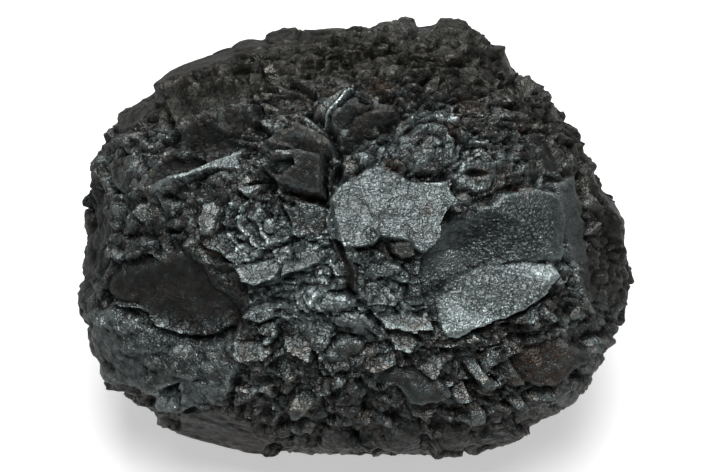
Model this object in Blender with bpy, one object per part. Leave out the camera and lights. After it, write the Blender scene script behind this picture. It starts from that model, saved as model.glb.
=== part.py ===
"""Siderite nodule: one natural stone, as one faceted solid with its facets, scoops, ledges and lumps.

Metres, +Z up. X runs along the stone's length. The origin is on the surface that the stone rests on,
under the middle of its box. The form is worked out in millimetres about the stone's middle.
"""

import functools
import math

import bmesh
import bpy
import numpy as np

MM = 0.001

# Driving sizes, in millimetres
OUTLINE_RADII = (44.0, 40.2, 39.2, 37.2, 34.9, 33.3, 36.2, 40.9, 45.4,
                 44.0, 47.0, 44.9, 39.8, 35.6, 36.6, 40.1, 44.2, 45.2)  # every 20 degrees from the right
FRONT_DEPTH = 31.0
BACK_DEPTH = 34.0
FULLNESS = 2.35
REST_DROP = 30.5
BOX_MIDDLE = (0.2, 0.1)
VIEW_DISTANCE = 500.0
VIEW_ELEVATION = 42.0

# The photograph's scale: its middle and its pixels for each millimetre of the stone
PHOTO_MIDDLE_PX = (356.0, 237.0)
PX_PER_MM = 6.0

# The broad faces that the whole stone is cut by, all round: azimuth, elevation and distance in mm
BROAD_FACES = (
    (62, 28, 39.5),
    (128, 34, 38.0),
    (172, 50, 35.5),
    (158, -6, 36.5),
    (205, 12, 39.0),
    (238, -18, 41.5),
    (248, 38, 41.0),
    (130, -50, 35.5),
    (215, -50, 35.5),
    (5, -77, 33.0),
    (97, -78, 33.4),
    (183, -76, 32.8),
    (262, -78, 33.6),
)
BROAD_BLEND = 1.2

# Surface relief
GRID = 28
FRONT_CROWDING = 0.15
DEEPEST_CUT = 4.0
STEEPEST_RISE = 1.5
RIM_RISE = 0.4
WARP = 0.7
WARP_SIZE = 5.0
SLOPE_STEP = 1.5
FLAKES = (
    (6.5, 1.6, 1.0, 0.6, 34.0),
    (3.3, 0.75, 1.5, 0.45, 30.0),
)  # size and height in mm, lean, depth of joint in mm and crispness
MOST_LEAN = 0.6
FLAKE_BENDS = ((0.22, 1.6), (0.07, 4.3))  # how far and how often, in flakes
JOINT_WIDTH = 0.1
JOINTS_OFTEN = 0.6
LAYERING = 1.35
TOP_LAYERING = 1.1
TOP_LAYERS = 14.0


def smooth(x):
    """A smooth step from 0 to 1 as x goes from 0 to 1."""
    x = np.clip(x, 0.0, 1.0)
    return x * x * (3.0 - 2.0 * x)


def unit(vectors):
    return vectors / np.linalg.norm(vectors, axis=-1, keepdims=True)


def chances(cells, seed, count):
    """Repeatable numbers from 0 to 1, so many for every whole-number cell, one row each."""
    x, y, z = (cells[..., i].astype(np.int64).astype(np.uint32) for i in range(3))
    mixed = x * np.uint32(73856093) ^ y * np.uint32(19349663) ^ z * np.uint32(83492791)
    mixed = mixed ^ np.uint32(seed * 40503 + 977)
    rows = []
    for _ in range(count):
        mixed = (mixed ^ (mixed >> np.uint32(15))) * np.uint32(2246822519)
        mixed = (mixed ^ (mixed >> np.uint32(13))) * np.uint32(3266489917)
        mixed = mixed ^ (mixed >> np.uint32(16))
        rows.append((mixed & np.uint32(0xFFFFFF)) / float(0xFFFFFF))
    return rows


def noise(points, seed, count=1):
    """Smooth noise from -1 to 1 with a wavelength of about 1, in so many columns."""
    cell = np.floor(points)
    part = smooth(points - cell)
    total = np.zeros((count, len(points)))
    for corner in np.ndindex(2, 2, 2):
        weight = np.ones(len(points))
        for axis, far in enumerate(corner):
            weight = weight * (part[:, axis] if far else 1.0 - part[:, axis])
        total += weight * np.array(chances(cell + corner, seed, count))
    total = total * 2.0 - 1.0
    return total[0] if count == 1 else total.T


def flakes(points, seed, lean, crispness):
    """Broken rock: the height of each cell's stepped, leaning flake, and how near a joint each point is."""
    cell = np.floor(points)
    height = np.zeros(len(points))
    weight = np.full(len(points), 1e-12)
    nearest = np.full(len(points), 9.0)
    second = nearest.copy()
    for offset in np.ndindex(3, 3, 3):
        there = cell + np.array(offset) - 1
        *numbers, level = chances(there, seed, 7)
        gap = [points[:, i] - there[:, i] - 0.1 - 0.8 * numbers[i] for i in range(3)]
        far = gap[0] ** 2 + gap[1] ** 2 + gap[2] ** 2
        slope = sum(gap[i] * (numbers[3 + i] * 2.0 - 1.0) for i in range(3))
        share = np.exp(-crispness * far)
        height += share * (level - 0.5 + np.clip(lean * slope, -MOST_LEAN, MOST_LEAN))
        weight += share
        second = np.minimum(second, np.maximum(nearest, far))
        nearest = np.minimum(nearest, far)
    return height / weight, np.sqrt(second) - np.sqrt(nearest)


class Sight:
    """A direction that the stone is looked at from, with places on its picture in mm right and up."""

    def __init__(self, azimuth, elevation, middle=(0.0, 0.0), per_mm=(1.0, 1.0)):
        a, e = math.radians(azimuth), math.radians(elevation)
        self.right = np.array((math.cos(a), math.sin(a), 0.0))
        self.toward = np.array((math.sin(a) * math.cos(e), -math.cos(a) * math.cos(e), math.sin(e)))
        self.up = np.cross(self.toward, self.right)
        self.middle = np.array(middle)
        self.per_mm = np.array(per_mm)

    def places(self, points):
        return (np.array(points, float) - self.middle) / self.per_mm

    def picture(self, points):
        near = points @ self.toward
        spread = VIEW_DISTANCE / (VIEW_DISTANCE - near)
        return points @ self.right * spread, points @ self.up * spread


FRONT = Sight(0, VIEW_ELEVATION, PHOTO_MIDDLE_PX, (PX_PER_MM, -PX_PER_MM))
BROAD_SIGHTS = [(Sight(azimuth, elevation).toward, distance) for azimuth, elevation, distance in BROAD_FACES]
BACK = Sight(180, 20)
RIGHT_END = Sight(90, 8)
LEFT_END = Sight(270, 8)
TOP = Sight(0, 85)
UNDER = Sight(0, -75)


def outline_radius(angle):
    """The outline's radius at an angle, by a closed Catmull-Rom curve through its radii."""
    radii = np.array(OUTLINE_RADII)
    turn = angle / (2.0 * math.pi) * len(radii)
    first = np.floor(turn).astype(int)
    t = turn - first
    a, b, c, d = (radii[(first + k) % len(radii)] for k in (-1, 0, 1, 2))
    return b + 0.5 * t * (c - a + t * (2.0 * a - 5.0 * b + 4.0 * c - d + t * (3.0 * (b - c) + d - a)))


def body(rays):
    """How far the plain body, cut by its broad faces, reaches along each ray from the middle."""
    ahead = rays @ FRONT.toward
    aside = np.sqrt(np.clip(1.0 - ahead * ahead, 0.0, 1.0))
    angle = np.arctan2(rays @ FRONT.up, rays @ FRONT.right)
    depth = np.where(ahead > 0.0, FRONT_DEPTH, BACK_DEPTH)
    share = (aside / outline_radius(angle)) ** FULLNESS + (np.abs(ahead) / depth) ** FULLNESS
    reach = share ** (-1.0 / FULLNESS)
    for toward, distance in BROAD_SIGHTS:
        plane = distance / np.maximum(rays @ toward, 0.1)
        near = np.clip(0.5 + 0.5 * (plane - reach) / BROAD_BLEND, 0.0, 1.0)
        reach = plane * (1.0 - near) + reach * near - BROAD_BLEND * near * (1.0 - near)
    return reach


@functools.cache
def surface_point(sight, right, up):
    """The point of the plain body seen at a place of a sight's picture."""
    near = 25.0
    for _ in range(12):
        shrink = (VIEW_DISTANCE - near) / VIEW_DISTANCE
        across = (right * sight.right + up * sight.up) * shrink
        reach = body(unit(across + near * sight.toward)[None])[0]
        near += 0.8 * (math.sqrt(max(reach * reach - across @ across, 4.0)) - near)
    return across + near * sight.toward


def inside(u, v, outline):
    """How far inside a closed outline each place is, in mm, and below 0 outside it."""
    within = np.zeros(len(u), bool)
    nearest = np.full(len(u), 1e9)
    for (x0, y0), (x1, y1) in zip(outline, np.roll(outline, -1, axis=0)):
        dx, dy = x1 - x0, y1 - y0
        t = np.clip(((u - x0) * dx + (v - y0) * dy) / (dx * dx + dy * dy), 0.0, 1.0)
        nearest = np.minimum(nearest, np.hypot(u - x0 - t * dx, v - y0 - t * dy))
        if dy:
            crossing = ((y0 > v) != (y1 > v)) & (u < dx * (v - y0) / dy + x0)
            within ^= crossing
    return np.where(within, nearest, -nearest)


def along(u, v, line):
    """For each place, the distance from an open line, the side it is on and how far along it lies."""
    nearest = np.full(len(u), 1e9)
    side = np.zeros(len(u))
    share = np.zeros(len(u))
    lengths = np.hypot(*np.diff(line, axis=0).T)
    done = 0.0
    for (x0, y0), (x1, y1), length in zip(line[:-1], line[1:], lengths):
        dx, dy = x1 - x0, y1 - y0
        t = np.clip(((u - x0) * dx + (v - y0) * dy) / length ** 2, 0.0, 1.0)
        gap = np.hypot(u - x0 - t * dx, v - y0 - t * dy)
        closer = gap < nearest
        nearest = np.where(closer, gap, nearest)
        side = np.where(closer, np.sign(dx * (v - y0) - dy * (u - x0)), side)
        share = np.where(closer, (done + t * length) / lengths.sum(), share)
        done += length
    return nearest, side, share


class Stone:
    """The stone's surface along many rays, worked on feature by feature."""

    def __init__(self, rays):
        self.rays = rays
        self.plain = body(rays)
        self.reach = self.plain.copy()
        start = rays * self.plain[:, None]
        self.start = start + WARP * noise(start / WARP_SIZE, 100, 3)
        self.room = RIM_RISE + (1.0 - RIM_RISE) * smooth(2.0 * np.abs(rays @ FRONT.toward))
        self.rough = np.ones(len(rays))

    def seen(self, sight):
        u, v = sight.picture(self.start)
        return u, v, smooth((self.rays @ sight.toward + 0.12) / 0.2)

    def settle(self, cover, rough):
        if rough is not None:
            self.rough = self.rough * (1.0 - cover) + rough * cover

    def facet(self, sight, outline, lift=0.0, tilt=None, bowl=0.0, edge=0.8, rough=0.15):
        """A flat or hollow face inside an outline, laid on the body there and lifted.

        Its tilt is in degrees to the right and up from facing the sight. With none it lies as the body does.
        """
        outline = sight.places(outline)
        u, v, facing = self.seen(sight)
        depth = inside(u, v, outline)
        cover = smooth(0.5 + depth / edge) * facing
        middle = outline.mean(0)
        point = surface_point(sight, *middle)
        if tilt is None:
            slopes = []
            for axis in np.eye(2) * SLOPE_STEP:
                rise = surface_point(sight, *middle + axis) - surface_point(sight, *middle - axis)
                slopes.append(rise @ sight.toward / (2.0 * SLOPE_STEP))
        else:
            slopes = [-math.tan(math.radians(angle)) for angle in tilt]
        normal = sight.toward - slopes[0] * sight.right - slopes[1] * sight.up
        point = point + lift * sight.toward
        flat = (point @ normal) / np.maximum(self.rays @ normal, 0.15)
        flat = flat - bowl * smooth(depth / max(depth.max(), 1.0))
        highest = self.plain + (max(lift, 0.0) + STEEPEST_RISE) * self.room
        flat = np.clip(flat, self.plain - DEEPEST_CUT, highest)
        self.reach = self.reach * (1.0 - cover) + flat * cover
        self.settle(cover, rough)

    def lump(self, sight, place, size, height, turn=0.0, power=1.0, rough=None):
        """A raised lump, or a pit where the height is below 0, on an ellipse."""
        x, y = sight.places(place)
        u, v, facing = self.seen(sight)
        c, s = math.cos(math.radians(turn)), math.sin(math.radians(turn))
        p, q = (u - x) * c + (v - y) * s, (v - y) * c - (u - x) * s
        fall = np.clip(1.0 - (p / size[0]) ** 2 - (q / size[1]) ** 2, 0.0, 1.0)
        self.reach = self.reach + height * fall ** power * facing
        self.settle(smooth(3.0 * fall) * facing, rough)

    def seam(self, sight, line, width, height, power=1.0, rough=None):
        """A ridge along a line, or a groove where the height is below 0."""
        u, v, facing = self.seen(sight)
        gap, _, share = along(u, v, sight.places(line))
        ends = smooth(share / 0.08) * smooth((1.0 - share) / 0.08)
        fall = np.clip(1.0 - gap / width, 0.0, 1.0) ** power * facing * (0.3 + 0.7 * ends)
        self.reach = self.reach + height * fall
        self.settle(smooth(2.0 * fall), rough)

    def ledge(self, sight, line, height, fade, edge=0.6, rough=None):
        """A step that is high on the left of a line and fades out away from it."""
        u, v, facing = self.seen(sight)
        gap, side, share = along(u, v, sight.places(line))
        ends = smooth(share / 0.15) * smooth((1.0 - share) / 0.15)
        signed = gap * side
        rise = smooth(0.5 + signed / edge) * np.clip(1.0 - signed / fade, 0.0, 1.0)
        self.reach = self.reach + height * rise * ends * facing
        self.settle(rise * ends * facing, rough)

    def break_up(self):
        """Break the rough parts of the surface into flakes and chips with joints between them."""
        loose = self.rough > 0.02
        flat = self.rays[loose] * self.reach[loose, None]
        up = flat @ FRONT.up
        squeeze = (LAYERING - 1.0) * up + TOP_LAYERING * np.maximum(up - TOP_LAYERS, 0.0)
        flat = flat + squeeze[:, None] * FRONT.up
        relief = np.zeros(len(flat))
        for number, (size, height, lean, joint, crispness) in enumerate(FLAKES):
            points = flat / size
            seed = 300 + 20 * number
            bent = points.copy()
            for turn, (far, often) in enumerate(FLAKE_BENDS):
                bent += far * noise(points * often, seed + turn, 3)
            step, gap = flakes(bent, seed, lean, crispness)
            cracked = smooth(noise(points * JOINTS_OFTEN, seed + 9) + 0.5)
            relief += height * step - joint * np.clip(1.0 - gap / JOINT_WIDTH, 0.0, 1.0) * cracked
        self.reach[loose] += self.rough[loose] * relief

    def rest(self):
        """Cut the underside flat where the stone rests."""
        down = -self.rays[:, 2]
        floor = np.where(down > 0.05, REST_DROP / np.maximum(down, 0.05), 1e9)
        resting = self.reach >= floor
        self.reach = np.minimum(self.reach, floor)
        return resting


# Faces read from the photograph: outline in its pixels, then lift in mm, tilt in degrees (None follows the
# body), bowl in mm, width of the edge in mm and roughness
FRONT_FACES = {
    "left slab": (((112, 302), (140, 312), (170, 333), (200, 338), (234, 334), (240, 352), (234, 380),
                   (224, 402), (182, 410), (150, 386), (120, 384), (100, 360), (95, 330)),
                  -0.2, (-20, 2), -0.6, 1.2, 0.5),
    "left scoop": (((108, 282), (120, 265), (150, 260), (195, 252), (215, 268), (226, 300), (236, 322),
                    (228, 332), (200, 334), (170, 328), (140, 310), (112, 296)),
                   -1.8, (-12, -17), 0.8, 1.4, 0.05),
    "low slab": (((182, 412), (224, 403), (246, 420), (272, 440), (266, 455), (210, 446), (180, 432)),
                 -0.2, None, 0.2, 1.0, 0.2),
    "upper slope": (((165, 102), (180, 88), (205, 84), (240, 82), (262, 84), (262, 96), (225, 106),
                     (190, 116), (170, 124)), -0.5, None, 0.6, 1.2, 0.35),
    "upper slab": (((158, 87), (178, 70), (198, 58), (222, 46), (247, 37), (264, 32), (274, 38), (260, 54),
                    (240, 58), (215, 67), (195, 73), (180, 82), (164, 94)), 0.5, None, 0.2, 0.8, 0.12),
    "upper left wedge": (((118, 112), (134, 98), (149, 91), (148, 112), (134, 122), (120, 128)),
                         0.3, None, 0.2, 0.8, 0.15),
    "hollow above band": (((192, 128), (222, 125), (240, 130), (236, 143), (226, 152), (205, 157), (188, 154),
                           (178, 150)), -1.1, (0, -8), 0.6, 1.0, 0.06),
    "hollow left of band": (((164, 162), (186, 153), (200, 160), (182, 170), (166, 184), (150, 190),
                             (147, 180)), -0.9, (-4, 4), 0.5, 0.8, 0.08),
    "bright band": (((230, 152), (243, 143), (241, 151), (237, 160), (240, 168), (228, 172), (212, 171),
                     (200, 176), (186, 185), (170, 195), (157, 199), (160, 191), (178, 181), (195, 171),
                     (212, 161)), 0.9, (-6, 26), 0.0, 0.6, 0.1),
    "dark lens": (((203, 119), (225, 110), (248, 106), (259, 112), (252, 124), (238, 130), (218, 127)),
                  0.3, (-4, 0), -0.3, 0.8, 0.06),
    "shoulder": (((345, 137), (352, 118), (374, 108), (392, 111), (396, 121), (380, 127), (362, 140),
                  (347, 148), (340, 146)), 0.7, (0, -8), -0.5, 1.2, 0.06),
    "face under glint": (((329, 120), (338, 107), (354, 97), (372, 103), (374, 110), (356, 113), (344, 122),
                          (336, 134)), 1.2, (14, 2), -0.4, 0.7, 0.2),
    "nose top": (((264, 152), (280, 139), (302, 131), (320, 133), (333, 143), (337, 152), (322, 157),
                  (300, 160), (280, 160)), 2.0, (-3, 4), -0.5, 0.8, 0.06),
    "nose face": (((280, 162), (300, 159), (322, 156), (325, 174), (323, 193), (303, 191), (284, 186),
                   (272, 174)), 2.3, (4, -6), -0.3, 0.6, 0.05),
    "centre face": (((352, 178), (366, 161), (380, 162), (400, 173), (445, 183), (455, 207), (440, 226),
                     (437, 240), (425, 252), (408, 240), (382, 238), (366, 246), (336, 248), (325, 215),
                     (328, 195), (340, 185)), 0.3, (2, 14), 0.2, 0.7, 0.12),
    "face by oval": (((142, 205), (158, 202), (160, 216), (148, 222), (138, 214)),
                     0.0, (-8, 4), 0.1, 0.6, 0.1),
    "pale oval": (((204, 209), (213, 203), (220, 212), (221, 230), (216, 239), (206, 239), (201, 225)),
                  0.8, (-6, 12), -0.2, 0.6, 0.08),
    "hatched face": (((288, 206), (308, 198), (326, 204), (327, 230), (314, 240), (296, 232)),
                     0.0, (4, -4), 0.0, 0.7, 0.3),
    "bright face 1": (((236, 267), (250, 260), (272, 259), (283, 266), (280, 278), (262, 282), (246, 279)),
                      0.6, (0, 20), 0.0, 0.6, 0.15),
    "bright face 2": (((284, 262), (300, 261), (322, 249), (327, 258), (306, 270), (285, 278)),
                      0.5, (0, 20), 0.0, 0.6, 0.15),
    "scoop wall": (((465, 215), (500, 195), (530, 190), (555, 200), (562, 225), (557, 259), (522, 262),
                    (470, 280), (440, 294), (424, 300), (420, 280), (430, 255), (445, 230)),
                   -1.7, (2, -24), 1.0, 1.6, 0.07),
    "scoop slope": (((433, 300), (470, 279), (500, 267), (530, 260), (550, 262), (557, 272), (545, 293),
                     (515, 312), (480, 322), (455, 336), (442, 334), (435, 318)),
                    -0.4, (4, 19), -0.2, 0.6, 0.08),
    "right strip": (((553, 186), (570, 178), (580, 200), (584, 228), (592, 262), (574, 264), (565, 230)),
                    0.2, None, 0.3, 0.9, 0.08),
    "arc scale": (((402, 128), (430, 120), (450, 126), (460, 145), (458, 160), (440, 174), (412, 172),
                   (398, 158)), 0.5, None, -0.8, 0.9, 0.55),
    "dark side face": (((540, 143), (556, 141), (563, 160), (558, 174), (546, 176), (540, 160)),
                       -0.2, None, 0.2, 0.6, 0.2),
    "top right facet": (((488, 48), (503, 46), (521, 66), (534, 78), (520, 82), (505, 66)),
                        0.5, None, 0.1, 0.7, 0.1),
    "top right block": (((501, 82), (520, 80), (536, 79), (542, 90), (530, 95), (504, 92)),
                        0.6, (10, 24), 0.0, 0.6, 0.12),
    "crest block": (((372, 23), (379, 15), (430, 17), (434, 36), (408, 44), (383, 42)),
                    0.6, None, 0.0, 0.8, 0.6),
    "low shelf": (((377, 317), (410, 313), (425, 315), (428, 325), (408, 328), (384, 327)),
                  0.9, (0, 26), 0.0, 0.5, 0.1),
    "shelf block": (((386, 332), (408, 330), (416, 339), (408, 350), (394, 348)),
                    0.4, (0, 18), 0.0, 0.5, 0.12),
    "step 1": (((234, 341), (262, 340), (273, 352), (262, 358), (242, 355)), 0.7, (-3, 18), 0.0, 0.5, 0.15),
    "step 2": (((283, 338), (298, 335), (311, 340), (313, 356), (298, 353), (284, 348)),
               0.6, (3, 18), 0.0, 0.5, 0.15),
    "step 3": (((294, 396), (304, 387), (319, 390), (316, 402), (304, 410), (296, 406)),
               0.7, (6, 10), 0.0, 0.5, 0.15),
    "step 4": (((418, 373), (430, 362), (449, 351), (453, 360), (440, 369), (426, 377)),
               0.5, (4, 18), 0.0, 0.5, 0.2),
    "low convex": (((366, 372), (388, 366), (414, 368), (438, 380), (447, 392), (432, 400), (406, 399),
                    (398, 386), (382, 379)), 0.5, (2, -6), -0.6, 1.0, 0.08),
    "red block": (((509, 358), (525, 348), (560, 338), (575, 341), (573, 354), (560, 366), (548, 381),
                   (522, 380)), 1.1, (6, -4), -0.2, 0.7, 0.2),
}

# Lumps, and pits where the height is below 0: place in pixels, half sizes and height in mm, turn in
# degrees, how square the profile is and roughness
FRONT_LUMPS = {
    "pocket by wedge": ((157, 96), (1.7, 1.1), -1.3, 20, 0.8, 0.2),
    "nose pit": ((336, 172), (1.1, 1.9), -3.0, -10, 0.7, 0.2),
    "centre lump": ((373, 235), (1.4, 1.5), 0.9, 0, 0.6, 0.3),
    "scale hollow": ((405, 131), (1.9, 2.2), -0.8, 0, 1.0, 0.1),
    "small lump": ((390, 155), (2.0, 2.3), 0.8, 0, 0.6, 0.5),
    "ring lump": ((470, 181), (3.9, 3.4), 1.0, 10, 0.5, 0.3),
    "lens 1": ((341, 303), (3.0, 2.0), 0.9, -8, 0.5, 0.3),
    "lens 2": ((352, 322), (3.2, 1.5), 0.7, -5, 0.5, 0.2),
    "lens 3": ((343, 349), (3.8, 1.9), 0.8, 8, 0.5, 0.15),
    "cavity 1": ((263, 388), (2.9, 0.9), -1.4, -8, 0.8, 0.2),
    "cavity 2": ((272, 405), (3.6, 0.8), -1.3, -25, 0.8, 0.2),
    "cavity 3": ((148, 397), (1.9, 1.4), -1.6, 10, 0.8, 0.2),
    "rim lump 1": ((338, 441), (3.0, 2.8), 1.0, 0, 0.6, 0.3),
    "rim lump 2": ((402, 438), (3.8, 2.9), 1.2, 0, 0.6, 0.3),
    "rim hollow": ((447, 425), (3.4, 1.4), -1.3, 10, 0.8, 0.15),
    "rim lump 3": ((456, 440), (3.6, 1.8), 0.8, 0, 0.6, 0.3),
    "rim lump 4": ((566, 395), (2.4, 2.0), 0.9, 20, 0.6, 0.3),
    "outline bump 1": ((545, 95), (1.6, 1.6), 0.8, 0, 0.8, 0.4),
    "outline bump 2": ((585, 143), (1.6, 1.8), 0.8, 0, 0.8, 0.4),
}

# Ridges, and grooves where the height is below 0: line in pixels, half width and height in mm
FRONT_SEAMS = {
    "ridge 1": (((148, 149), (160, 143), (172, 136), (186, 131), (200, 123), (215, 120)), 1.2, 1.1),
    "band crevice": (((237, 174), (222, 173), (208, 178), (196, 184), (188, 197)), 0.6, -1.0),
    "fissure": (((303, 108), (314, 116), (327, 125), (336, 139), (338, 153)), 0.9, -2.0),
    "glint": (((326, 119), (334, 106), (344, 97), (354, 87)), 0.7, 1.1),
    "scale arc": (((401, 124), (412, 117), (430, 114), (448, 117), (455, 127), (461, 139), (465, 151)),
                  1.1, 1.0),
    "scale groove": (((446, 178), (456, 171), (463, 160), (466, 149)), 0.8, -1.2),
    "long fissure": (((329, 197), (331, 215), (338, 245), (345, 270), (352, 292), (362, 305), (386, 337)),
                     0.8, -0.9),
    "under slope": (((455, 339), (469, 329), (499, 321), (521, 311), (546, 296), (560, 292)), 0.9, -1.4),
    "left lip": (((110, 297), (140, 308), (165, 323), (187, 331), (214, 331)), 1.1, 0.9),
    "under left lip": (((135, 322), (152, 330), (172, 338), (200, 341), (232, 332)), 1.0, -1.7),
    "side streak 1": (((497, 52), (520, 84), (545, 124), (572, 170), (590, 220)), 0.8, -1.0),
    "side streak 2": (((512, 60), (536, 92), (558, 130), (582, 176), (600, 226)), 0.8, -1.0),
    "side streak 4": (((562, 126), (584, 164), (600, 206), (610, 250), (614, 290)), 0.8, -1.0),
    "left streak 1": (((140, 108), (118, 140), (100, 182), (92, 230)), 0.7, -0.8),
}

# Steps, high on the left of a line: line in pixels, height and fade in mm
FRONT_LEDGES = {
    "ledge under bright faces": (((252, 285), (275, 285), (290, 279), (310, 273), (328, 266)), 0.9, 3.0),
    "crest layer 1": (((296, 47), (322, 43), (350, 43), (382, 49)), 0.7, 2.4),
    "crest layer 2": (((288, 62), (320, 58), (350, 57), (384, 60)), 0.7, 2.2),
    "crest layer 3": (((398, 35), (425, 37), (452, 42), (482, 52)), 0.7, 2.4),
    "crest layer 4": (((402, 52), (430, 50), (455, 54), (482, 64)), 0.6, 2.2),
    "crest layer 5": (((326, 34), (350, 32), (372, 35)), 0.6, 2.0),
    "crest layer 6": (((400, 80), (425, 79), (455, 82), (485, 84)), 0.7, 2.4),
    "crest layer 7": (((392, 96), (420, 99), (452, 99), (476, 104)), 0.6, 2.2),
    "left step 1": (((100, 312), (118, 322), (134, 336)), 0.7, 2.6),
    "left step 2": (((118, 344), (150, 352), (185, 362)), 0.4, 2.6),
    "right step 1": (((480, 336), (510, 331), (540, 322), (565, 316)), 0.8, 2.6),
    "right step 2": (((560, 326), (580, 320), (604, 318)), 0.8, 2.4),
    "low step 1": (((232, 400), (255, 398), (282, 402)), 0.7, 2.4),
    "low step 2": (((480, 412), (500, 406), (524, 404)), 0.7, 2.4),
}


# The sides that the photograph doesn't show, in the same manner as the near side, in mm from the middle
# of each sight's picture: the shapes' numbers are as above
HIDDEN_FACES = {
    "back main face": (BACK, ((-6, 8), (4, 14), (19, 11), (24, 0), (17, -9), (3, -7), (-4, -1)),
                       0.2, (3, 12), 0.3, 1.0, 0.12),
    "back scoop": (BACK, ((-37, 2), (-27, 9), (-12, 8), (-8, -2), (-16, -9), (-31, -9)),
                   -1.5, (-14, -16), 1.5, 1.4, 0.08),
    "back scoop slope": (BACK, ((-32, -9), (-17, -9), (-8, -4), (-7, -13), (-20, -19), (-30, -15)),
                         -0.2, (-6, 14), 0.2, 0.7, 0.12),
    "back shoulder": (BACK, ((-29, 13), (-17, 19), (-5, 17), (-8, 11), (-21, 10)),
                      0.6, (-5, 20), -0.4, 0.9, 0.2),
    "back wedge": (BACK, ((27, 13), (34, 8), (38, -3), (31, -5), (26, 4)), 0.4, (17, 6), 0.1, 0.8, 0.15),
    "back low face": (BACK, ((2, -13), (17, -12), (27, -17), (22, -23), (7, -24)), 0.2, None, 0.4, 1.0, 0.2),
    "back block 1": (BACK, ((-2, 22), (5, 24), (9, 20), (2, 17)), 0.7, (0, 24), 0.0, 0.6, 0.15),
    "back block 2": (BACK, ((-15, -21), (-8, -18), (-3, -21), (-9, -25)), 0.7, (-4, 14), 0.0, 0.6, 0.15),
    "right end face": (RIGHT_END, ((-9, 10), (-1, 13), (6, 4), (-2, -9), (-9, -5)),
                       -0.6, None, 0.5, 1.0, 0.6),
    "right end scoop": (RIGHT_END, ((8, 6), (17, 4), (22, -6), (14, -13), (5, -8)),
                        -1.0, (8, -8), 0.9, 1.0, 0.1),
    "right end block": (RIGHT_END, ((2, 19), (10, 18), (13, 11), (5, 10)), 0.5, (6, 22), 0.0, 0.6, 0.15),
    "left end face": (LEFT_END, ((3, 12), (16, 6), (15, -8), (3, -10)), -0.6, None, 0.6, 1.0, 0.3),
    "left end scoop": (LEFT_END, ((-20, 4), (-10, 9), (-3, 4), (-6, -6), (-17, -7)),
                       -1.2, (-8, 4), 1.0, 1.0, 0.1),
    "left end block": (LEFT_END, ((-14, -12), (-5, -10), (-2, -17), (-11, -19)),
                       0.5, (-6, -8), 0.0, 0.6, 0.15),
    "top face": (TOP, ((-24, 18), (-10, 23), (0, 20), (-6, 13), (-19, 12)), -0.4, None, 0.5, 1.0, 0.5),
    "top slab": (TOP, ((8, 25), (20, 23), (25, 16), (18, 12), (7, 17)), 0.5, None, -0.2, 0.9, 0.5),
    "under face": (UNDER, ((14, 14), (28, 10), (26, -2), (13, 0)), -0.6, None, 0.5, 1.0, 0.2),
}
HIDDEN_LUMPS = {
    "back swell": (BACK, (-16, 21), (8, 4), 1.0, 10),
    "back hollow": (BACK, (33, 8), (4, 6), -1.4, 20, 1.0, 0.3),
    "back lump": (BACK, (27, -11), (4, 3), 1.0, -20, 0.6, 0.3),
    "back pocket": (BACK, (-1, -11), (3, 1.4), -1.6, 10, 0.8, 0.2),
    "right end hollow": (RIGHT_END, (-19, 0), (3, 5), -1.2, 0, 1.0, 0.2),
    "left end lump": (LEFT_END, (9, 16), (4, 3), 1.0, -15, 0.6, 0.3),
    "top hollow": (TOP, (3, 27), (5, 3), -1.2, 15, 1.0, 0.3),
    "under hollow": (UNDER, (-22, 2), (7, 9), -1.4, 0, 1.0, 0.2),
}
HIDDEN_SEAMS = {
    "back fissure": (BACK, ((3, 24), (-1, 16), (-5, 8), (-6, -3), (-2, -15), (-4, -24)), 1.0, -1.6),
    "back branch": (BACK, ((-5, 8), (-15, 10), (-24, 11), (-33, 7)), 0.8, -1.2),
    "back rib": (BACK, ((-33, -11), (-20, -10), (-9, -4)), 0.9, 0.8),
    "right end fissure": (RIGHT_END, ((4, 22), (6, 12), (3, 2), (5, -9), (2, -18)), 0.9, -1.2),
    "left end fissure": (LEFT_END, ((-2, 20), (0, 10), (-3, 0), (0, -12)), 0.9, -1.2),
    "under fissure": (UNDER, ((-30, -6), (-18, 4), (-12, 16)), 1.2, -1.2),
}
HIDDEN_LEDGES = {
    "back ledge 1": (BACK, ((-30, -20), (-8, -14), (8, -11), (28, -14)), 1.2, 5.0),
    "back ledge 2": (BACK, ((-24, 24), (-8, 20), (8, 16), (26, 15)), 1.1, 4.0),
    "back ledge 3": (BACK, ((-38, -4), (-28, -12), (-16, -20)), 0.9, 4.0),
    "right end ledge": (RIGHT_END, ((-18, -10), (0, -14), (17, -16)), 1.2, 5.0),
    "left end ledge": (LEFT_END, ((-16, -8), (-2, -14), (16, -12)), 1.2, 5.0),
    "top ledge": (TOP, ((-26, 16), (-8, 15), (10, 18), (24, 16)), 0.9, 4.0),
}


def all_features(stone):
    """What the photograph shows, then what it doesn't."""
    for outline, *shape in FRONT_FACES.values():
        stone.facet(FRONT, outline, *shape)
    for place, *shape in FRONT_LUMPS.values():
        stone.lump(FRONT, place, *shape)
    for line, *shape in FRONT_LEDGES.values():
        stone.ledge(FRONT, line, *shape)
    for line, *shape in FRONT_SEAMS.values():
        stone.seam(FRONT, line, *shape)
    for shape in HIDDEN_FACES.values():
        stone.facet(*shape)
    for shape in HIDDEN_LUMPS.values():
        stone.lump(*shape)
    for shape in HIDDEN_LEDGES.values():
        stone.ledge(*shape)
    for shape in HIDDEN_SEAMS.values():
        stone.seam(*shape)


def cube_ball(count):
    """Rays through an even grid on a cube, bent so that its squares come out alike on the ball."""
    mesh = bmesh.new()
    bmesh.ops.create_cube(mesh, size=2.0)
    bmesh.ops.subdivide_edges(mesh, edges=mesh.edges, cuts=count - 1, use_grid_fill=True)
    points = np.array([vertex.co[:] for vertex in mesh.verts])
    return mesh, unit(np.tan(points * math.pi / 4.0))


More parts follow.
